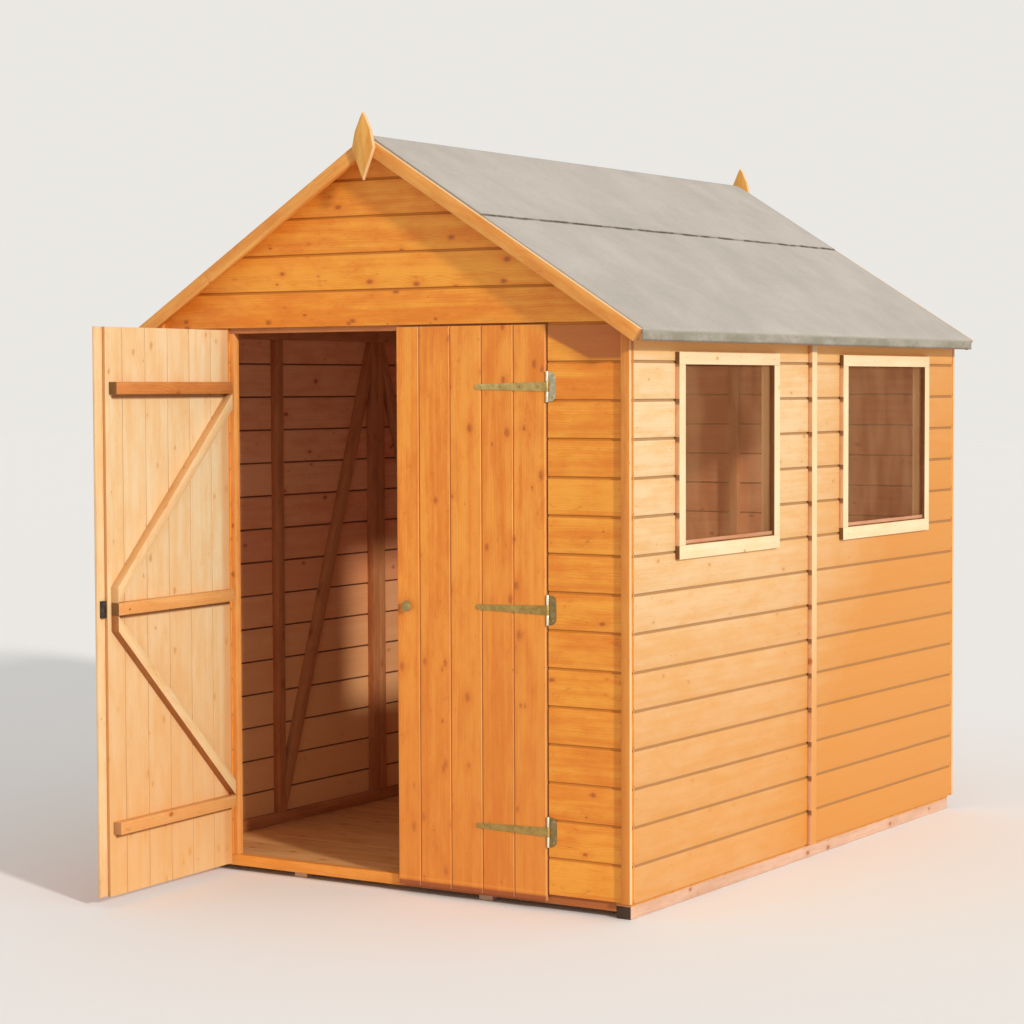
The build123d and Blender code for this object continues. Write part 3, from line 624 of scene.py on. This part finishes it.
# full rows of a wall; spans(row) gives the stretches of that row, and the side walls' top row is sloped
def wallPiece(name, node, wall, spans):
    stack = Stack()
    for row in wallRows:
        bottom = rowBottom(row)
        if wall != "front" and row == wallRows[-1]:
            profile = topProfile(shed["wallTop"] - bottom, boardThick, shed["slope"])
        else:
            profile = shiplapProfile(shed["boardCover"], boardThick)
        for start, end in spans(row):
            addBoard(stack, profile, lambda across, depth: (start, end),
                     lambda u, v, w: places[wall](u, bottom + v, w))
    slot, finishes = ("front_boards", frontPaints) if wall == "front" else ("side_boards", sidePaints)
    stack.piece(name, "shed", slot, finishes, node)


# rows that end under the roof boards
def gablePiece(name, node, wall, slot, rows):
    stack = Stack()
    under = shed["ridgeLine"] - shed["roofBoard"]
    for row in rows:
        bottom = rowBottom(row)
        cover = min(shed["boardCover"], under - bottom - 0.003)
        profile = shiplapProfile(cover, boardThick, row != rows[-1])

        def ends(across, depth):
            half = min(halfWidth, max(0.002, (under - bottom - across) / shed["slope"]))
            return -half, half

        addBoard(stack, profile, ends, lambda u, v, w: places[wall](u, bottom + v, w))
    stack.piece(name, "shed", slot, frontPaints, node)


def plainSpan(start, end):
    return lambda row: [(start, end)]


def windowSpans(panel, opening):
    low, high = windows["rows"]
    (start, end), (holeStart, holeEnd) = panel, opening

    def spans(row):
        if low <= row < high:
            return [(start, holeStart - windows["lap"]), (holeEnd + windows["lap"], end)]
        return [(start, end)]
    return spans


panelGap = 0.0005
panelEnd = halfLength - boardThick
frontPanel = (-panelEnd, shed["panelJoint"] - panelGap)
rearPanel = (shed["panelJoint"] + panelGap, panelEnd)
wallPiece("frontBoardsLeft", "front_wall_left", "front", plainSpan(-halfWidth, -shed["jamb"]))
wallPiece("frontBoardsRight", "front_wall_right", "front", plainSpan(shed["jamb"], halfWidth))
wallPiece("leftBoardsFront", "left_wall_front", "left", plainSpan(*frontPanel))
wallPiece("leftBoardsRear", "left_wall_rear", "left", plainSpan(*rearPanel))
wallPiece("rightBoardsFront", "right_wall_front", "right", windowSpans(frontPanel, windows["openings"][0]))
wallPiece("rightBoardsRear", "right_wall_rear", "right", windowSpans(rearPanel, windows["openings"][1]))
gablePiece("gableBoards", "front_gable", "front", "front_boards", range(shed["wallRows"], shed["gableRows"]))
gablePiece("rearBoards", "rear_wall", "rear", "side_boards", range(shed["gableRows"]))
print("wall boards laid")


def leafPiece(name, node, body, lines, reseat=None):
    stack = Stack()
    for low, high in zip(lines, lines[1:]):
        profile = doorProfile(high - low, boardThick, tongued=high != lines[-1], grooved=low != lines[0])
        addBoard(stack, profile, lambda across, depth: (leaf["bottom"], leaf["top"]),
                 lambda u, v, w: (low + v, leaf["face"] + w, u), bow=0.0004)
    stack.piece(name, body, "door_boards", ["leafFront", "leafBack"], node, reseat=reseat)


leafPiece("leftLeafBoards", "left_door_boards", "left_door", leaf["leftLines"], toLeftOpen)
leafPiece("rightLeafBoards", "right_door_boards", "right_door", leaf["rightLines"])


# boards side by side along the shed, the last one cut to what is left
def layBoards(stack, front, back, bevels, ends, place, bow, step):
    start, least = front, 0.01
    while start < back - least:
        cover = min(shed["boardCover"], back - start)
        last = start + cover > back - least
        profile = doorProfile(cover, boardThick, *bevels, tongued=not last, grooved=start > front)
        addBoard(stack, profile, ends, lambda u, v, w: place(u, start + v, w), bow, step)
        start += cover


# bevels: of the upper and lower edges, then the gap at each edge
floorLook = {
    "front": -1.163, "back": 1.190, "half": 0.888, "top": 0.050, "bevels": (0.0010, 0.0015, 0.0006),
    "tabInside": 0.838, "tabLong": 0.027, "tabBevels": (0.0010, 0.0015, 0.0004),
}
floor = Stack()
layBoards(floor, floorLook["front"], floorLook["back"], floorLook["bevels"],
          lambda across, depth: (-floorLook["half"], floorLook["half"]),
          lambda u, v, w: (u, v, floorLook["top"] - w), 0.0005, 0.4)
for side in (-1, 1):  # boards let in between the corner posts, at the front
    inner, outer = floorLook["tabInside"], floorLook["half"]
    addBoard(floor, doorProfile(floorLook["tabLong"], boardThick, *floorLook["tabBevels"], False, False),
             lambda across, depth: (inner, outer) if side > 0 else (-outer, -inner),
             lambda u, v, w: (u, floorLook["front"] - floorLook["tabLong"] + v, floorLook["top"] - w))
floor.piece("floorPlanks", "shed", "floor_boards", ["floor", "floor"], "floor_boards")

slopeTurn = math.atan(shed["slope"])
roofLook = {"bevels": (0.0010, 0.0022, 0.0004), "ridgeGap": 0.0004, "bow": 0.0002, "step": 0.5}


# roof boards run from the ridge down to the eaves
def roofPiece(side, label):
    def onSlope(u, v, w):
        x = u * math.cos(slopeTurn) - w * math.sin(slopeTurn)
        return side * x, v, shed["ridgeLine"] - u * math.sin(slopeTurn) - w * math.cos(slopeTurn)

    def plumbEnds(across, depth):
        lean = depth * math.tan(slopeTurn)
        return roofLook["ridgeGap"] + lean, shed["eavesHalf"] / math.cos(slopeTurn) + lean

    stack = Stack()
    layBoards(stack, shed["roofFront"], shed["roofBack"], roofLook["bevels"], plumbEnds, onSlope,
              roofLook["bow"], roofLook["step"])
    stack.piece("roofBoards" + label, "shed", "frame_timber", ["roof", "roof"], "roof_panel_" + label.lower())


bothSlopes = ((-1, "Left"), (1, "Right"))
for side, label in bothSlopes:
    roofPiece(side, label)
print("leaf, floor and roof boards laid")


# the solids of a node as separate lists of corners and faces
def nodeSolids(node):
    work = bmesh.new()
    work.from_mesh(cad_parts[node].data)
    bmesh.ops.remove_doubles(work, verts=work.verts, dist=2e-5)
    bmesh.ops.dissolve_limit(work, angle_limit=math.radians(0.6), verts=work.verts, edges=work.edges)
    seen, solids = set(), []
    for first in work.verts:
        if first in seen:
            continue
        group, queue = [], [first]
        seen.add(first)
        while queue:
            vert = queue.pop()
            group.append(vert)
            for edge in vert.link_edges:
                other = edge.other_vert(vert)
                if other not in seen:
                    seen.add(other)
                    queue.append(other)
        number = {vert: i for i, vert in enumerate(group)}
        faces = {face for vert in group for face in vert.link_faces}
        ordered = sorted(([number[v] for v in face.verts] for face in faces))
        solids.append(([v.co.copy() for v in group], ordered))
    work.free()
    return solids


# main directions of a solid: along its length, then a level one across it
def solidAxes(corners):
    points = np.array([tuple(c) for c in corners])
    points -= points.mean(0)
    along = Vector(np.linalg.svd(points, full_matrices=False)[2][0]).normalized()
    level = min((Vector(a) for a in ((0, 0, 1), (0, 1, 0), (1, 0, 0))), key=lambda a: abs(a.dot(along)))
    across = (level - along * level.dot(along)).normalized()
    return along, across, along.cross(across)


# the solid with softened edges, cut into lengths, and its two ends along its length
def softSolid(corners, faces, middle, along, arris, step):
    work = bmesh.new()
    made = [work.verts.new(c) for c in corners]
    for face in faces:
        work.faces.new([made[i] for i in face])
    bmesh.ops.recalc_face_normals(work, faces=work.faces)
    edges = [e for e in work.edges if len(e.link_faces) == 2 and e.calc_face_angle() > 0.35]
    bmesh.ops.bevel(work, geom=edges, offset=arris, segments=2, profile=0.5, affect="EDGES",
                    clamp_overlap=True)
    reach = [(v.co - middle).dot(along) for v in work.verts]
    low, high = min(reach), max(reach)
    cuts = int((high - low) / step)
    for i in range(1, cuts):
        point = middle + along * (low + (high - low) * i / cuts)
        parts = list(work.verts) + list(work.edges) + list(work.faces)
        bmesh.ops.bisect_plane(work, geom=parts, plane_co=point, plane_no=along, dist=1e-6)
    work.verts.index_update()
    return work, low, high


# a node's timbers, slightly uneven between their ends; sides take the first finish and ends the last,
# unless tone says which finish each face takes
def timberPiece(name, node, body, slot, materials, arris=0.0016, uneven=0.0004, step=0.16, tone=None):
    stack = Stack()
    for corners, faces in nodeSolids(node):
        seed = dice.random()
        along, across, through = solidAxes(corners)
        middle = sum(corners, Vector()) / len(corners)
        work, low, high = softSolid(corners, faces, middle, along, arris, step)
        verts, spaces = [], []
        for vert in work.verts:
            out = vert.co - middle
            spot, wide, deep = out.dot(along), out.dot(across), out.dot(through)
            wave = 0.0
            if low + 0.01 < spot < high - 0.01:
                wave = softNoise.noise(Vector((spot * 5.0, seed * 77.0, wide * 30.0)))
            verts.append(vert.co + vert.normal * (uneven * min(0.0, wave - 0.1)))
            spaces.append((spot + seed * grainShift, wide + 0.05, deep + 0.05))
        slots = []
        for face in work.faces:
            isEnd = abs(face.normal.dot(along)) > 0.8
            if tone:
                slots.append(tone(isEnd, face.normal, face.calc_center_median(), middle))
            else:
                slots.append(len(materials) - 1 if isEnd else 0)
        stack.add(verts, [[v.index for v in f.verts] for f in work.faces], slots, spaces, seed)
        work.free()
    stack.piece(name, body, slot, materials, node)


# which of a piece's finishes a face takes, from its direction, its centre and its timber's middle
def bearerTone(isEnd, normal, centre, middle):  # the outer bearers' ends are dark with painted shade
    return (2 if abs(middle.x) > 0.7 else 1) if isEnd else 0


def sideStudTone(isEnd, normal, centre, middle):  # those of the window wall are paler, as painted sunlight
    return 2 if isEnd else 1 if middle.x > 0 else 0


def trimTone(isEnd, normal, centre, middle):  # front-facing sides: painted shade at the board scoops outside, dark painted shade beside the pane
    if normal.y >= -0.6:
        return 0
    trimMiddles = [end + windows["sideTrim"] / 2 for _, end in windows["openings"]]
    return 2 if any(abs(middle.y - spot) < 0.03 for spot in trimMiddles) else 1


def headTone(isEnd, normal, centre, middle):
    return 1 if isEnd and normal.y < 0 else 0


def sillTone(isEnd, normal, centre, middle):  # the bead under the pane is darker than the sill
    if middle.z > windows["bottom"] - 0.006:
        return 1
    return 2 if normal.y < -0.6 else 0


def cornerTone(isEnd, normal, centre, middle):  # paler on the side walls, as painted light
    return 2 if isEnd else 1 if normal.x * middle.x > 0.5 else 0


# barge tops, finial sides and the meeting strip's faces take the pale painted-light finish
def bargeTone(isEnd, normal, centre, middle):
    return 2 if isEnd else 1 if normal.z > 0.5 else 0


def finialTone(isEnd, normal, centre, middle):
    return 1 if normal.x > 0.35 else 0


def meetingTone(isEnd, normal, centre, middle):
    return 2 if isEnd else 1 if normal.x < -0.6 else 0


def ledgeTone(isEnd, normal, centre, middle):  # the lowest ledge is palest, the highest darkest
    level = sum(middle.z > (low + high) / 2 for low, high in zip(leaf["hinges"], leaf["hinges"][1:]))
    return (4 if level else 3) if isEnd else level


def braceTone(isEnd, normal, centre, middle):  # painted light and shade: pale inner face, tan above, dark below
    if abs(normal.z) > 0.3:
        return 1 if normal.z > 0 else 2
    if abs(normal.x if middle.x < -0.3 else normal.y) > 0.7:
        return 0
    return 1 if middle.z > leaf["hinges"][1] else 2


def strapTone(isEnd, normal, centre, middle):  # the top hinge is brighter than those below
    return 0 if centre.z > leaf["hinges"][2] - 0.2 else 1


def plateTone(isEnd, normal, centre, middle):  # brightest on the barrels, a painted highlight
    if abs(abs(centre.x) - leaf["pinX"]) < 0.0075 and centre.y < leaf["pinY"] - 0.001:
        return 2
    return strapTone(isEnd, normal, centre, middle)


# name of the piece, its node, slot and finishes, and what differs from a plain timber
shedTimbers = (
    ("baseBearers", "floor_bearers", "base_timber", ["base", "paleEnd", "blackEnd"],
     {"uneven": 0.001, "tone": bearerTone}),
    ("doorSill", "door_sill", "base_timber", ["sill", "end"], {}),
    ("framePosts", "frame_posts", "frame_timber", ["jamb", "end"], {}),
    ("doorHead", "door_head", "frame_timber", ["frame", "end"], {}),
    ("gableRafters", "gable_rafters", "frame_timber", ["frame", "end"], {}),
    ("rearRails", "rear_rails", "frame_timber", ["frame", "end"], {}),
    ("rearStuds", "rear_studs", "frame_timber", ["frame", "end"], {}),
    ("sideRails", "side_rails", "frame_timber", ["frame", "litFrame", "end"], {"tone": sideStudTone}),
    ("sideStuds", "side_studs", "frame_timber", ["frame", "litFrame", "end"], {"tone": sideStudTone}),
    ("leftBraces", "left_braces", "frame_timber", ["frame", "end"], {}),
    ("jointStrips", "joint_strips", "trim_timber", ["joint", "trimSide"], {"tone": trimTone}),
    ("cornerStrips", "corner_strips", "trim_timber", ["strip", "litFace", "end"], {"tone": cornerTone}),
    ("windowSideTrims", "window_side_trims", "trim_timber", ["trim", "trimSide", "shadedTrimInside"],
     {"tone": trimTone}),
    ("windowHeadTrims", "window_head_trims", "trim_timber", ["trim", "darkEnd"], {"tone": headTone}),
    ("windowSillTrims", "window_sill_trims", "trim_timber", ["trim", "bead", "darkEnd"], {"tone": sillTone}),
    ("windowPanes", "window_glass", "window_glass", ["glass"], {"arris": 0.0006, "uneven": 0.0}),
    ("roofBattens", "roof_battens", "frame_timber", ["frame", "end"], {}),
    ("bargeBoards", "barge_boards", "barge_timber", ["barge", "litFace", "end"], {"tone": bargeTone}),
    ("gableFinials", "finials", "barge_timber", ["finial", "litFace"],
     {"arris": 0.0030, "uneven": 0.0, "tone": finialTone}),
)
for name, node, slot, finishes, changes in shedTimbers:
    timberPiece(name, node, "shed", slot, finishes, **changes)

sheetMetal = {"arris": 0.0005, "uneven": 0.0, "step": 1.0}
ledgeFinishes = ["lowLedge", "midLedge", "ledge", "end", "darkEnd"]
for side in ("left", "right"):
    body, label = side + "_door", side + "Leaf"
    timberPiece(label + "Ledges", body + "_ledges", body, "door_boards", ledgeFinishes, tone=ledgeTone)
    timberPiece(label + "Braces", body + "_braces", body, "door_boards", ["brace", "shadedBraceSide", "shadedBraceUnder"],
                tone=braceTone)
    timberPiece(label + "Straps", body + "_hinges", body, "hinge_steel", ["zinc", "lowZinc"],
                tone=strapTone, **sheetMetal)
timberPiece("leftLeafStrip", "left_door_strip", "left_door", "door_boards", ["litFace", "strip", "end"],
            tone=meetingTone)
timberPiece("leftLeafCatch", "left_door_latch", "left_door", "dark_iron", ["iron"], arris=0.0015, uneven=0.0)
timberPiece("rightLeafKnob", "right_door_knob", "right_door", "hinge_steel", ["brass"], arris=0.0012,
            uneven=0.0)
timberPiece("hingePlates", "hinge_plates", "shed", "hinge_steel", ["plate", "lowPlate", "knuckleHighlight"],
            tone=plateTone, **sheetMetal)
print("timbers and ironwork made")

# waves of the sheets and of the lap's free edge, steps along, down the slope and over the lap
feltSheets = {
    "thick": 0.0019, "wave": 0.0010, "lapWave": 0.0022, "ridgeWave": 0.0004, "alongSteps": 46,
    "slopeSteps": 22, "lapSteps": 12, "drip": 0.035, "dripShares": (0.1, 0.4, 0.7, 1.0),
    "overEaves": 0.002, "ridgeGap": 0.0006, "lapGap": 0.006, "crownDrop": 0.0012,
}


# felt: a path of (x, z) and its normals, swept along the shed with soft waves, with real thickness
def feltPiece(name, node, path, wave, lapLift=0.0):
    stack = Stack()
    front, back, thickness = shed["roofFront"], shed["roofBack"], feltSheets["thick"]
    rows, count = feltSheets["alongSteps"], len(path)
    verts, spaces = [], []
    for layer in (0, 1):
        for i in range(rows + 1):
            y = front + (back - front) * i / rows
            for j, (x, z, nx, nz) in enumerate(path):
                lift = wave * (0.5 + 0.5 * softNoise.noise(Vector((x * 6.0, y * 5.0, 0.7)))) - wave
                if lapLift and j in (0, count - 1):  # the free edge of the lap is a little wavy
                    lift += lapLift * max(0.0, softNoise.noise(Vector((y * 9.0, x * 3.0, 2.2))))
                drop = layer * thickness
                verts.append((x + nx * (lift - drop), y, z + nz * (lift - drop)))
                spaces.append((y, x, z))
    size = (rows + 1) * count
    faces = []
    for i in range(rows):
        for j in range(count - 1):
            a, b, c, d = i * count + j, i * count + j + 1, (i + 1) * count + j + 1, (i + 1) * count + j
            faces += [[a, b, c, d], [size + d, size + c, size + b, size + a]]
        for j in (0, count - 1):
            a, d = i * count + j, (i + 1) * count + j
            faces.append([a, d, size + d, size + a])
    for j in range(count - 1):
        for i in (0, rows):
            a, b = i * count + j, i * count + j + 1
            faces.append([a, b, size + b, size + a])
    stack.add(verts, faces, [0] * len(faces), spaces, 0.5)
    stack.piece(name, "shed", "roof_felt", ["felt"], node, sharp=50.0)


def slopePath(side, startX, endX, rise, steps):
    nx, nz = side * math.sin(slopeTurn), math.cos(slopeTurn)
    xs = [startX + (endX - startX) * i / steps for i in range(steps + 1)]
    return [(side * x, shed["ridgeLine"] - shed["slope"] * x + rise, nx, nz) for x in xs]


# down the slope, round the edge of the roof boards, and hanging a little below them
def slopeSheet(side, label):
    rise, edgeX = shed["feltRise"], shed["eavesHalf"] + feltSheets["overEaves"]
    path = slopePath(side, feltSheets["ridgeGap"], edgeX - 0.004, rise, feltSheets["slopeSteps"])
    edgeZ = shed["ridgeLine"] - shed["slope"] * edgeX + rise
    low = shed["ridgeLine"] - shed["slope"] * shed["eavesHalf"] - feltSheets["drip"]
    path.append((side * (edgeX - 0.0008), edgeZ - 0.0004, side * 0.80, 0.60))
    path += [(side * edgeX, edgeZ - (edgeZ - low) * share, side, 0.0) for share in feltSheets["dripShares"]]
    feltPiece("felt" + label, "felt_" + label.lower(), path, feltSheets["wave"])


# the strip over the ridge lies on both sheets
def ridgeSheet():
    rise, steps = 2 * shed["feltRise"], feltSheets["lapSteps"]
    leftHalf = slopePath(-1, feltLook["seamHalf"], feltSheets["lapGap"], rise, steps)
    rightHalf = slopePath(1, feltSheets["lapGap"], feltLook["seamHalf"], rise, steps)
    crown = [(0.0, shed["ridgeLine"] + rise - feltSheets["crownDrop"], 0.0, 1.0)]
    path = leftHalf + crown + rightHalf
    feltPiece("feltRidge", "felt_ridge", path, feltSheets["ridgeWave"], feltSheets["lapWave"])


for side, label in bothSlopes:
    slopeSheet(side, label)
ridgeSheet()
print("felt laid")


# a ring of points about the middle, turned on by a number of steps
def ring(count, steps=0, scale=1.0):
    turns = [math.radians(360.0 / count * (i + steps)) for i in range(count)]
    return [(math.cos(turn) * scale, math.sin(turn) * scale) for turn in turns]


# outlines of as many points each, set above one another along a normal and closed at both ends
def addHead(stack, point, normal, radius, layers):
    out = Vector(normal).normalized()
    first = out.orthogonal().normalized()
    second = out.cross(first)
    verts = []
    for outline, lift in layers:
        verts += [Vector(point) + out * lift + (first * x + second * y) * radius for x, y in outline]
    count, top, faces = len(layers[0][0]), len(layers) - 1, []
    for k in range(top):
        for i in range(count):
            j = (i + 1) % count
            faces.append([k * count + i, k * count + j, (k + 1) * count + j, (k + 1) * count + i])
    faces += [list(range(top * count, len(verts))), list(range(count - 1, -1, -1))]
    stack.add(verts, faces, [0] * len(faces), [(0, 0, 0)] * len(verts), 0.5)


nailLook = {"radius": 0.0014, "height": 0.0005, "sunk": 0.0008, "dome": 0.6, "shake": 0.004}


def addNail(stack, point, normal):  # a low dome
    height = nailLook["height"]
    layers = [(ring(8), -nailLook["sunk"]), (ring(8), height * 0.4), (ring(8, 0, nailLook["dome"]), height)]
    addHead(stack, point, normal, nailLook["radius"], layers)


screwLook = {
    "radius": 0.0034, "height": 0.0009, "sunk": 0.0006, "dome": 0.82, "arm": 0.58, "armHalf": 0.14,
    "depth": 0.0006,
}


def addScrew(stack, point, normal):  # a cross is sunk in the head
    height, arm, thin = screwLook["height"], screwLook["arm"], screwLook["armHalf"]
    corners = ((arm, -thin), (arm, 0), (arm, thin), (thin, thin))
    cross = []
    for c, s in ((1, 0), (0, 1), (-1, 0), (0, -1)):
        cross += [(x * c - y * s, x * s + y * c) for x, y in corners]
    layers = [(ring(16, -1), -screwLook["sunk"]), (ring(16, -1), height * 0.35),
              (ring(16, -1, screwLook["dome"]), height), (cross, height * 1.05),
              (cross, height - screwLook["depth"])]
    addHead(stack, point, normal, screwLook["radius"], layers)


# columns of nails where the frame stands behind the boards, and their heights in a board
wallNailLook = {
    "front": (0.6225, 0.861), "rear": (-0.861, -0.45, 0.0, 0.45, 0.861), "rises": (0.030, 0.080),
    "left": (-1.171, -0.598, -0.037, 0.025, 0.598, 1.171),
    "right": (-1.171, -0.960, -0.052, 0.040, 0.962, 1.171),
    "gableInset": 0.045, "gableRise": 0.1, "leastHalf": 0.05,
}
outward = {"front": (0, -1, 0), "rear": (0, 1, 0), "left": (-1, 0, 0), "right": (1, 0, 0)}


def nailRows(stack, wall, rows, columns):
    for row in rows:
        for column in columns:
            for rise in wallNailLook["rises"]:
                shake = dice.uniform(-nailLook["shake"], nailLook["shake"])
                point = places[wall](column + shake, rowBottom(row) + rise + shake * 0.6, 0.0)
                addNail(stack, point, outward[wall])


def gableNails(stack, wall):  # one column along each rafter
    for row in range(shed["wallRows"], shed["gableRows"] - 1):
        tall = shed["ridgeLine"] - shed["roofBoard"] - rowBottom(row) - wallNailLook["gableRise"]
        half = tall / shed["slope"] - wallNailLook["gableInset"]
        if half > wallNailLook["leastHalf"]:
            nailRows(stack, wall, [row], (-half, half))


wallNails = Stack()
for side, wall in ((-1, "left"), (1, "right")):
    nailRows(wallNails, "front", wallRows, [side * column for column in wallNailLook["front"]])
    nailRows(wallNails, wall, wallRows, wallNailLook[wall])
nailRows(wallNails, "rear", wallRows, wallNailLook["rear"])
gableNails(wallNails, "front")
gableNails(wallNails, "rear")
wallNails.piece("wallNails", "shed", "hinge_steel", ["nail"])

# nails across a leaf's board, which keep clear of the screws along a strap
leafFixings = {
    "nails": (0.28, 0.72), "nailLift": 0.010, "keepOff": (0.0, 0.05, 0.12, 0.19, 0.25), "clear": 0.012,
    "screws": (0.030, 0.095, 0.165, 0.235), "strapThick": 0.002, "plateScrew": 0.017, "plateLift": 0.032,
}


def leafNails(name, body, lines, reseat=None):
    stack = Stack()
    for low, high in zip(lines, lines[1:]):
        for height in leaf["hinges"]:
            for share in leafFixings["nails"]:
                x = low + (high - low) * share + dice.uniform(-nailLook["shake"], nailLook["shake"])
                if min(abs(x - leaf["edge"] + gap) for gap in leafFixings["keepOff"]) < leafFixings["clear"]:
                    continue
                lift = dice.choice((-leafFixings["nailLift"], leafFixings["nailLift"]))
                addNail(stack, (x, leaf["face"], height + lift), outward["front"])
    stack.piece(name, body, "hinge_steel", ["nail"], reseat=reseat)


def strapScrews(name, body, reseat=None):
    stack = Stack()
    for height in leaf["hinges"]:
        for back in leafFixings["screws"]:
            point = (leaf["pinX"] - back, leaf["face"] - leafFixings["strapThick"], height)
            addScrew(stack, point, outward["front"])
    stack.piece(name, body, "hinge_steel", ["lowZinc"], reseat=reseat)


def plateScrews():
    stack = Stack()
    lift = leafFixings["plateLift"]
    for side in (-1, 1):
        x, y = side * (leaf["pinX"] + leafFixings["plateScrew"]), -halfLength - leafFixings["strapThick"]
        for height in leaf["hinges"]:
            for z in (height - lift, height + lift):
                addScrew(stack, (x, y, z), outward["front"])
    stack.piece("plateScrews", "shed", "hinge_steel", ["lowZinc"])


# heights of the nails in the side trims, and their places along the head and the sill
trimNailLook = {"heights": (1.14, 1.38, 1.61), "shares": (0.0, 0.33, 0.67, 1.0)}


def trimNails():
    stack = Stack()
    face = halfWidth + windows["trimThick"]
    for start, end in windows["openings"]:
        spots = []
        for y in (start - windows["sideTrim"] / 2, end + windows["sideTrim"] / 2):
            spots += [(y, z) for z in trimNailLook["heights"]]
        for share in trimNailLook["shares"]:
            y = start + (end - start) * share
            spots.append((y, windows["top"] + windows["headTrim"] / 2))
            spots.append((y, windows["bottom"] - windows["sillTrim"] / 2))
        for y, z in spots:
            addNail(stack, (face, y, z), outward["right"])
    stack.piece("trimNails", "shed", "hinge_steel", ["nail"])


leafNails("leftLeafNails", "left_door", leaf["leftLines"], toLeftOpen)
leafNails("rightLeafNails", "right_door", leaf["rightLines"])
strapScrews("leftStrapScrews", "left_door", toLeftOpen)
strapScrews("rightStrapScrews", "right_door")
plateScrews()
trimNails()
print("nails and screws set")

# pale floor and soft studio light
stageLook = {
    "floor": (0.84, 0.835, 0.825), "seenFloor": (0.975, 0.97, 0.965), "floorCloud": (0.8, 0.79, 0.77),
    "floorHalf": 60, "floorDrop": 0.0005, "world": 0.60, "worldTint": (1.0, 0.985, 0.96),
    "sky": (0.829, 0.809, 0.776), "sunWay": (-0.872, 0.359, -0.334), "sunPower": 2.3, "sunSoft": 4.0,
    "sunTint": (1.0, 0.965, 0.90),
}


# 1 for what is seen straight, through glass or in a gloss, and 0 where it only lends light
def seenShare(paint):
    path = paint.node("ShaderNodeLightPath")
    return path.most(paint.also(path, "Is Transmission Ray")).most(paint.also(path, "Is Glossy Ray"))


def studioFloor():
    half, low = stageLook["floorHalf"], -stageLook["floorDrop"]
    mesh = bpy.data.meshes.new("studioFloor")
    corners = [(-half, -half, low), (half, -half, low), (half, half, low), (-half, half, low)]
    mesh.from_pydata(corners, [], [[0, 1, 2, 3]])
    made = bpy.data.objects.new("studioFloor", mesh)
    bpy.context.scene.collection.objects.link(made)
    paint = newPaint("studioFloor")
    cloud = paint.noise(paint.place(), 3.0, 3.0) * 0.03
    tone = paint.mix(seenShare(paint), stageLook["floor"], stageLook["seenFloor"])
    mesh.materials.append(paint.finish(paint.mix(cloud, tone, stageLook["floorCloud"]), 0.95))


def studioWorld():
    world = bpy.data.worlds.new("studioWorld")
    bpy.context.scene.world = world
    paint = Paint(world)
    plain = {"Color": (*stageLook["worldTint"], 1), "Strength": stageLook["world"]}
    plainSky = paint.node("ShaderNodeBackground", None, plain)
    seenSky = paint.node("ShaderNodeBackground", None, {"Color": (*stageLook["sky"], 1), "Strength": 1.0})
    both = paint.node("ShaderNodeMixShader", None, {0: seenShare(paint), 1: plainSky, 2: seenSky})
    paint.node("ShaderNodeOutputWorld", None, {"Surface": both})


def sunLamp():
    data = bpy.data.lights.new("sunLamp", "SUN")
    data.energy = stageLook["sunPower"]
    data.angle = math.radians(stageLook["sunSoft"])
    data.color = stageLook["sunTint"]
    made = bpy.data.objects.new("sunLamp", data)
    made.rotation_mode = "QUATERNION"
    made.rotation_quaternion = Vector(stageLook["sunWay"]).to_track_quat("-Z", "Y")
    bpy.context.scene.collection.objects.link(made)


# camera at the photograph's angle
cameraLook = {
    "azimuth": 32.46, "elevation": -2.77, "roll": 0.20, "focalPixels": 2575.3, "imagePixels": 1024.0,
    "place": (4.661, -7.771, 1.581), "sensorWidth": 36.0, "clipEnd": 200.0,
}


def photoCamera():
    azimuth, elevation = math.radians(cameraLook["azimuth"]), math.radians(cameraLook["elevation"])
    flat = math.cos(elevation)
    ahead = Vector((-math.sin(azimuth) * flat, math.cos(azimuth) * flat, math.sin(elevation)))
    level = ahead.cross(Vector((0, 0, 1))).normalized()
    down = ahead.cross(level)
    roll = math.radians(cameraLook["roll"])
    toRight = level * math.cos(roll) + down * math.sin(roll)
    toDown = down * math.cos(roll) - level * math.sin(roll)
    data = bpy.data.cameras.new("photoCamera")
    data.sensor_width = cameraLook["sensorWidth"]
    data.lens = cameraLook["sensorWidth"] * cameraLook["focalPixels"] / cameraLook["imagePixels"]
    data.clip_end = cameraLook["clipEnd"]
    made = bpy.data.objects.new("photoCamera", data)
    turned = Matrix((toRight, -toDown, -ahead)).transposed().to_4x4()
    made.matrix_world = Matrix.Translation(cameraLook["place"]) @ turned
    bpy.context.scene.collection.objects.link(made)
    bpy.context.scene.camera = made


studioFloor()
studioWorld()
sunLamp()
photoCamera()
bpy.context.scene.view_settings.view_transform = "Standard"
print("stage, lamps and camera set")
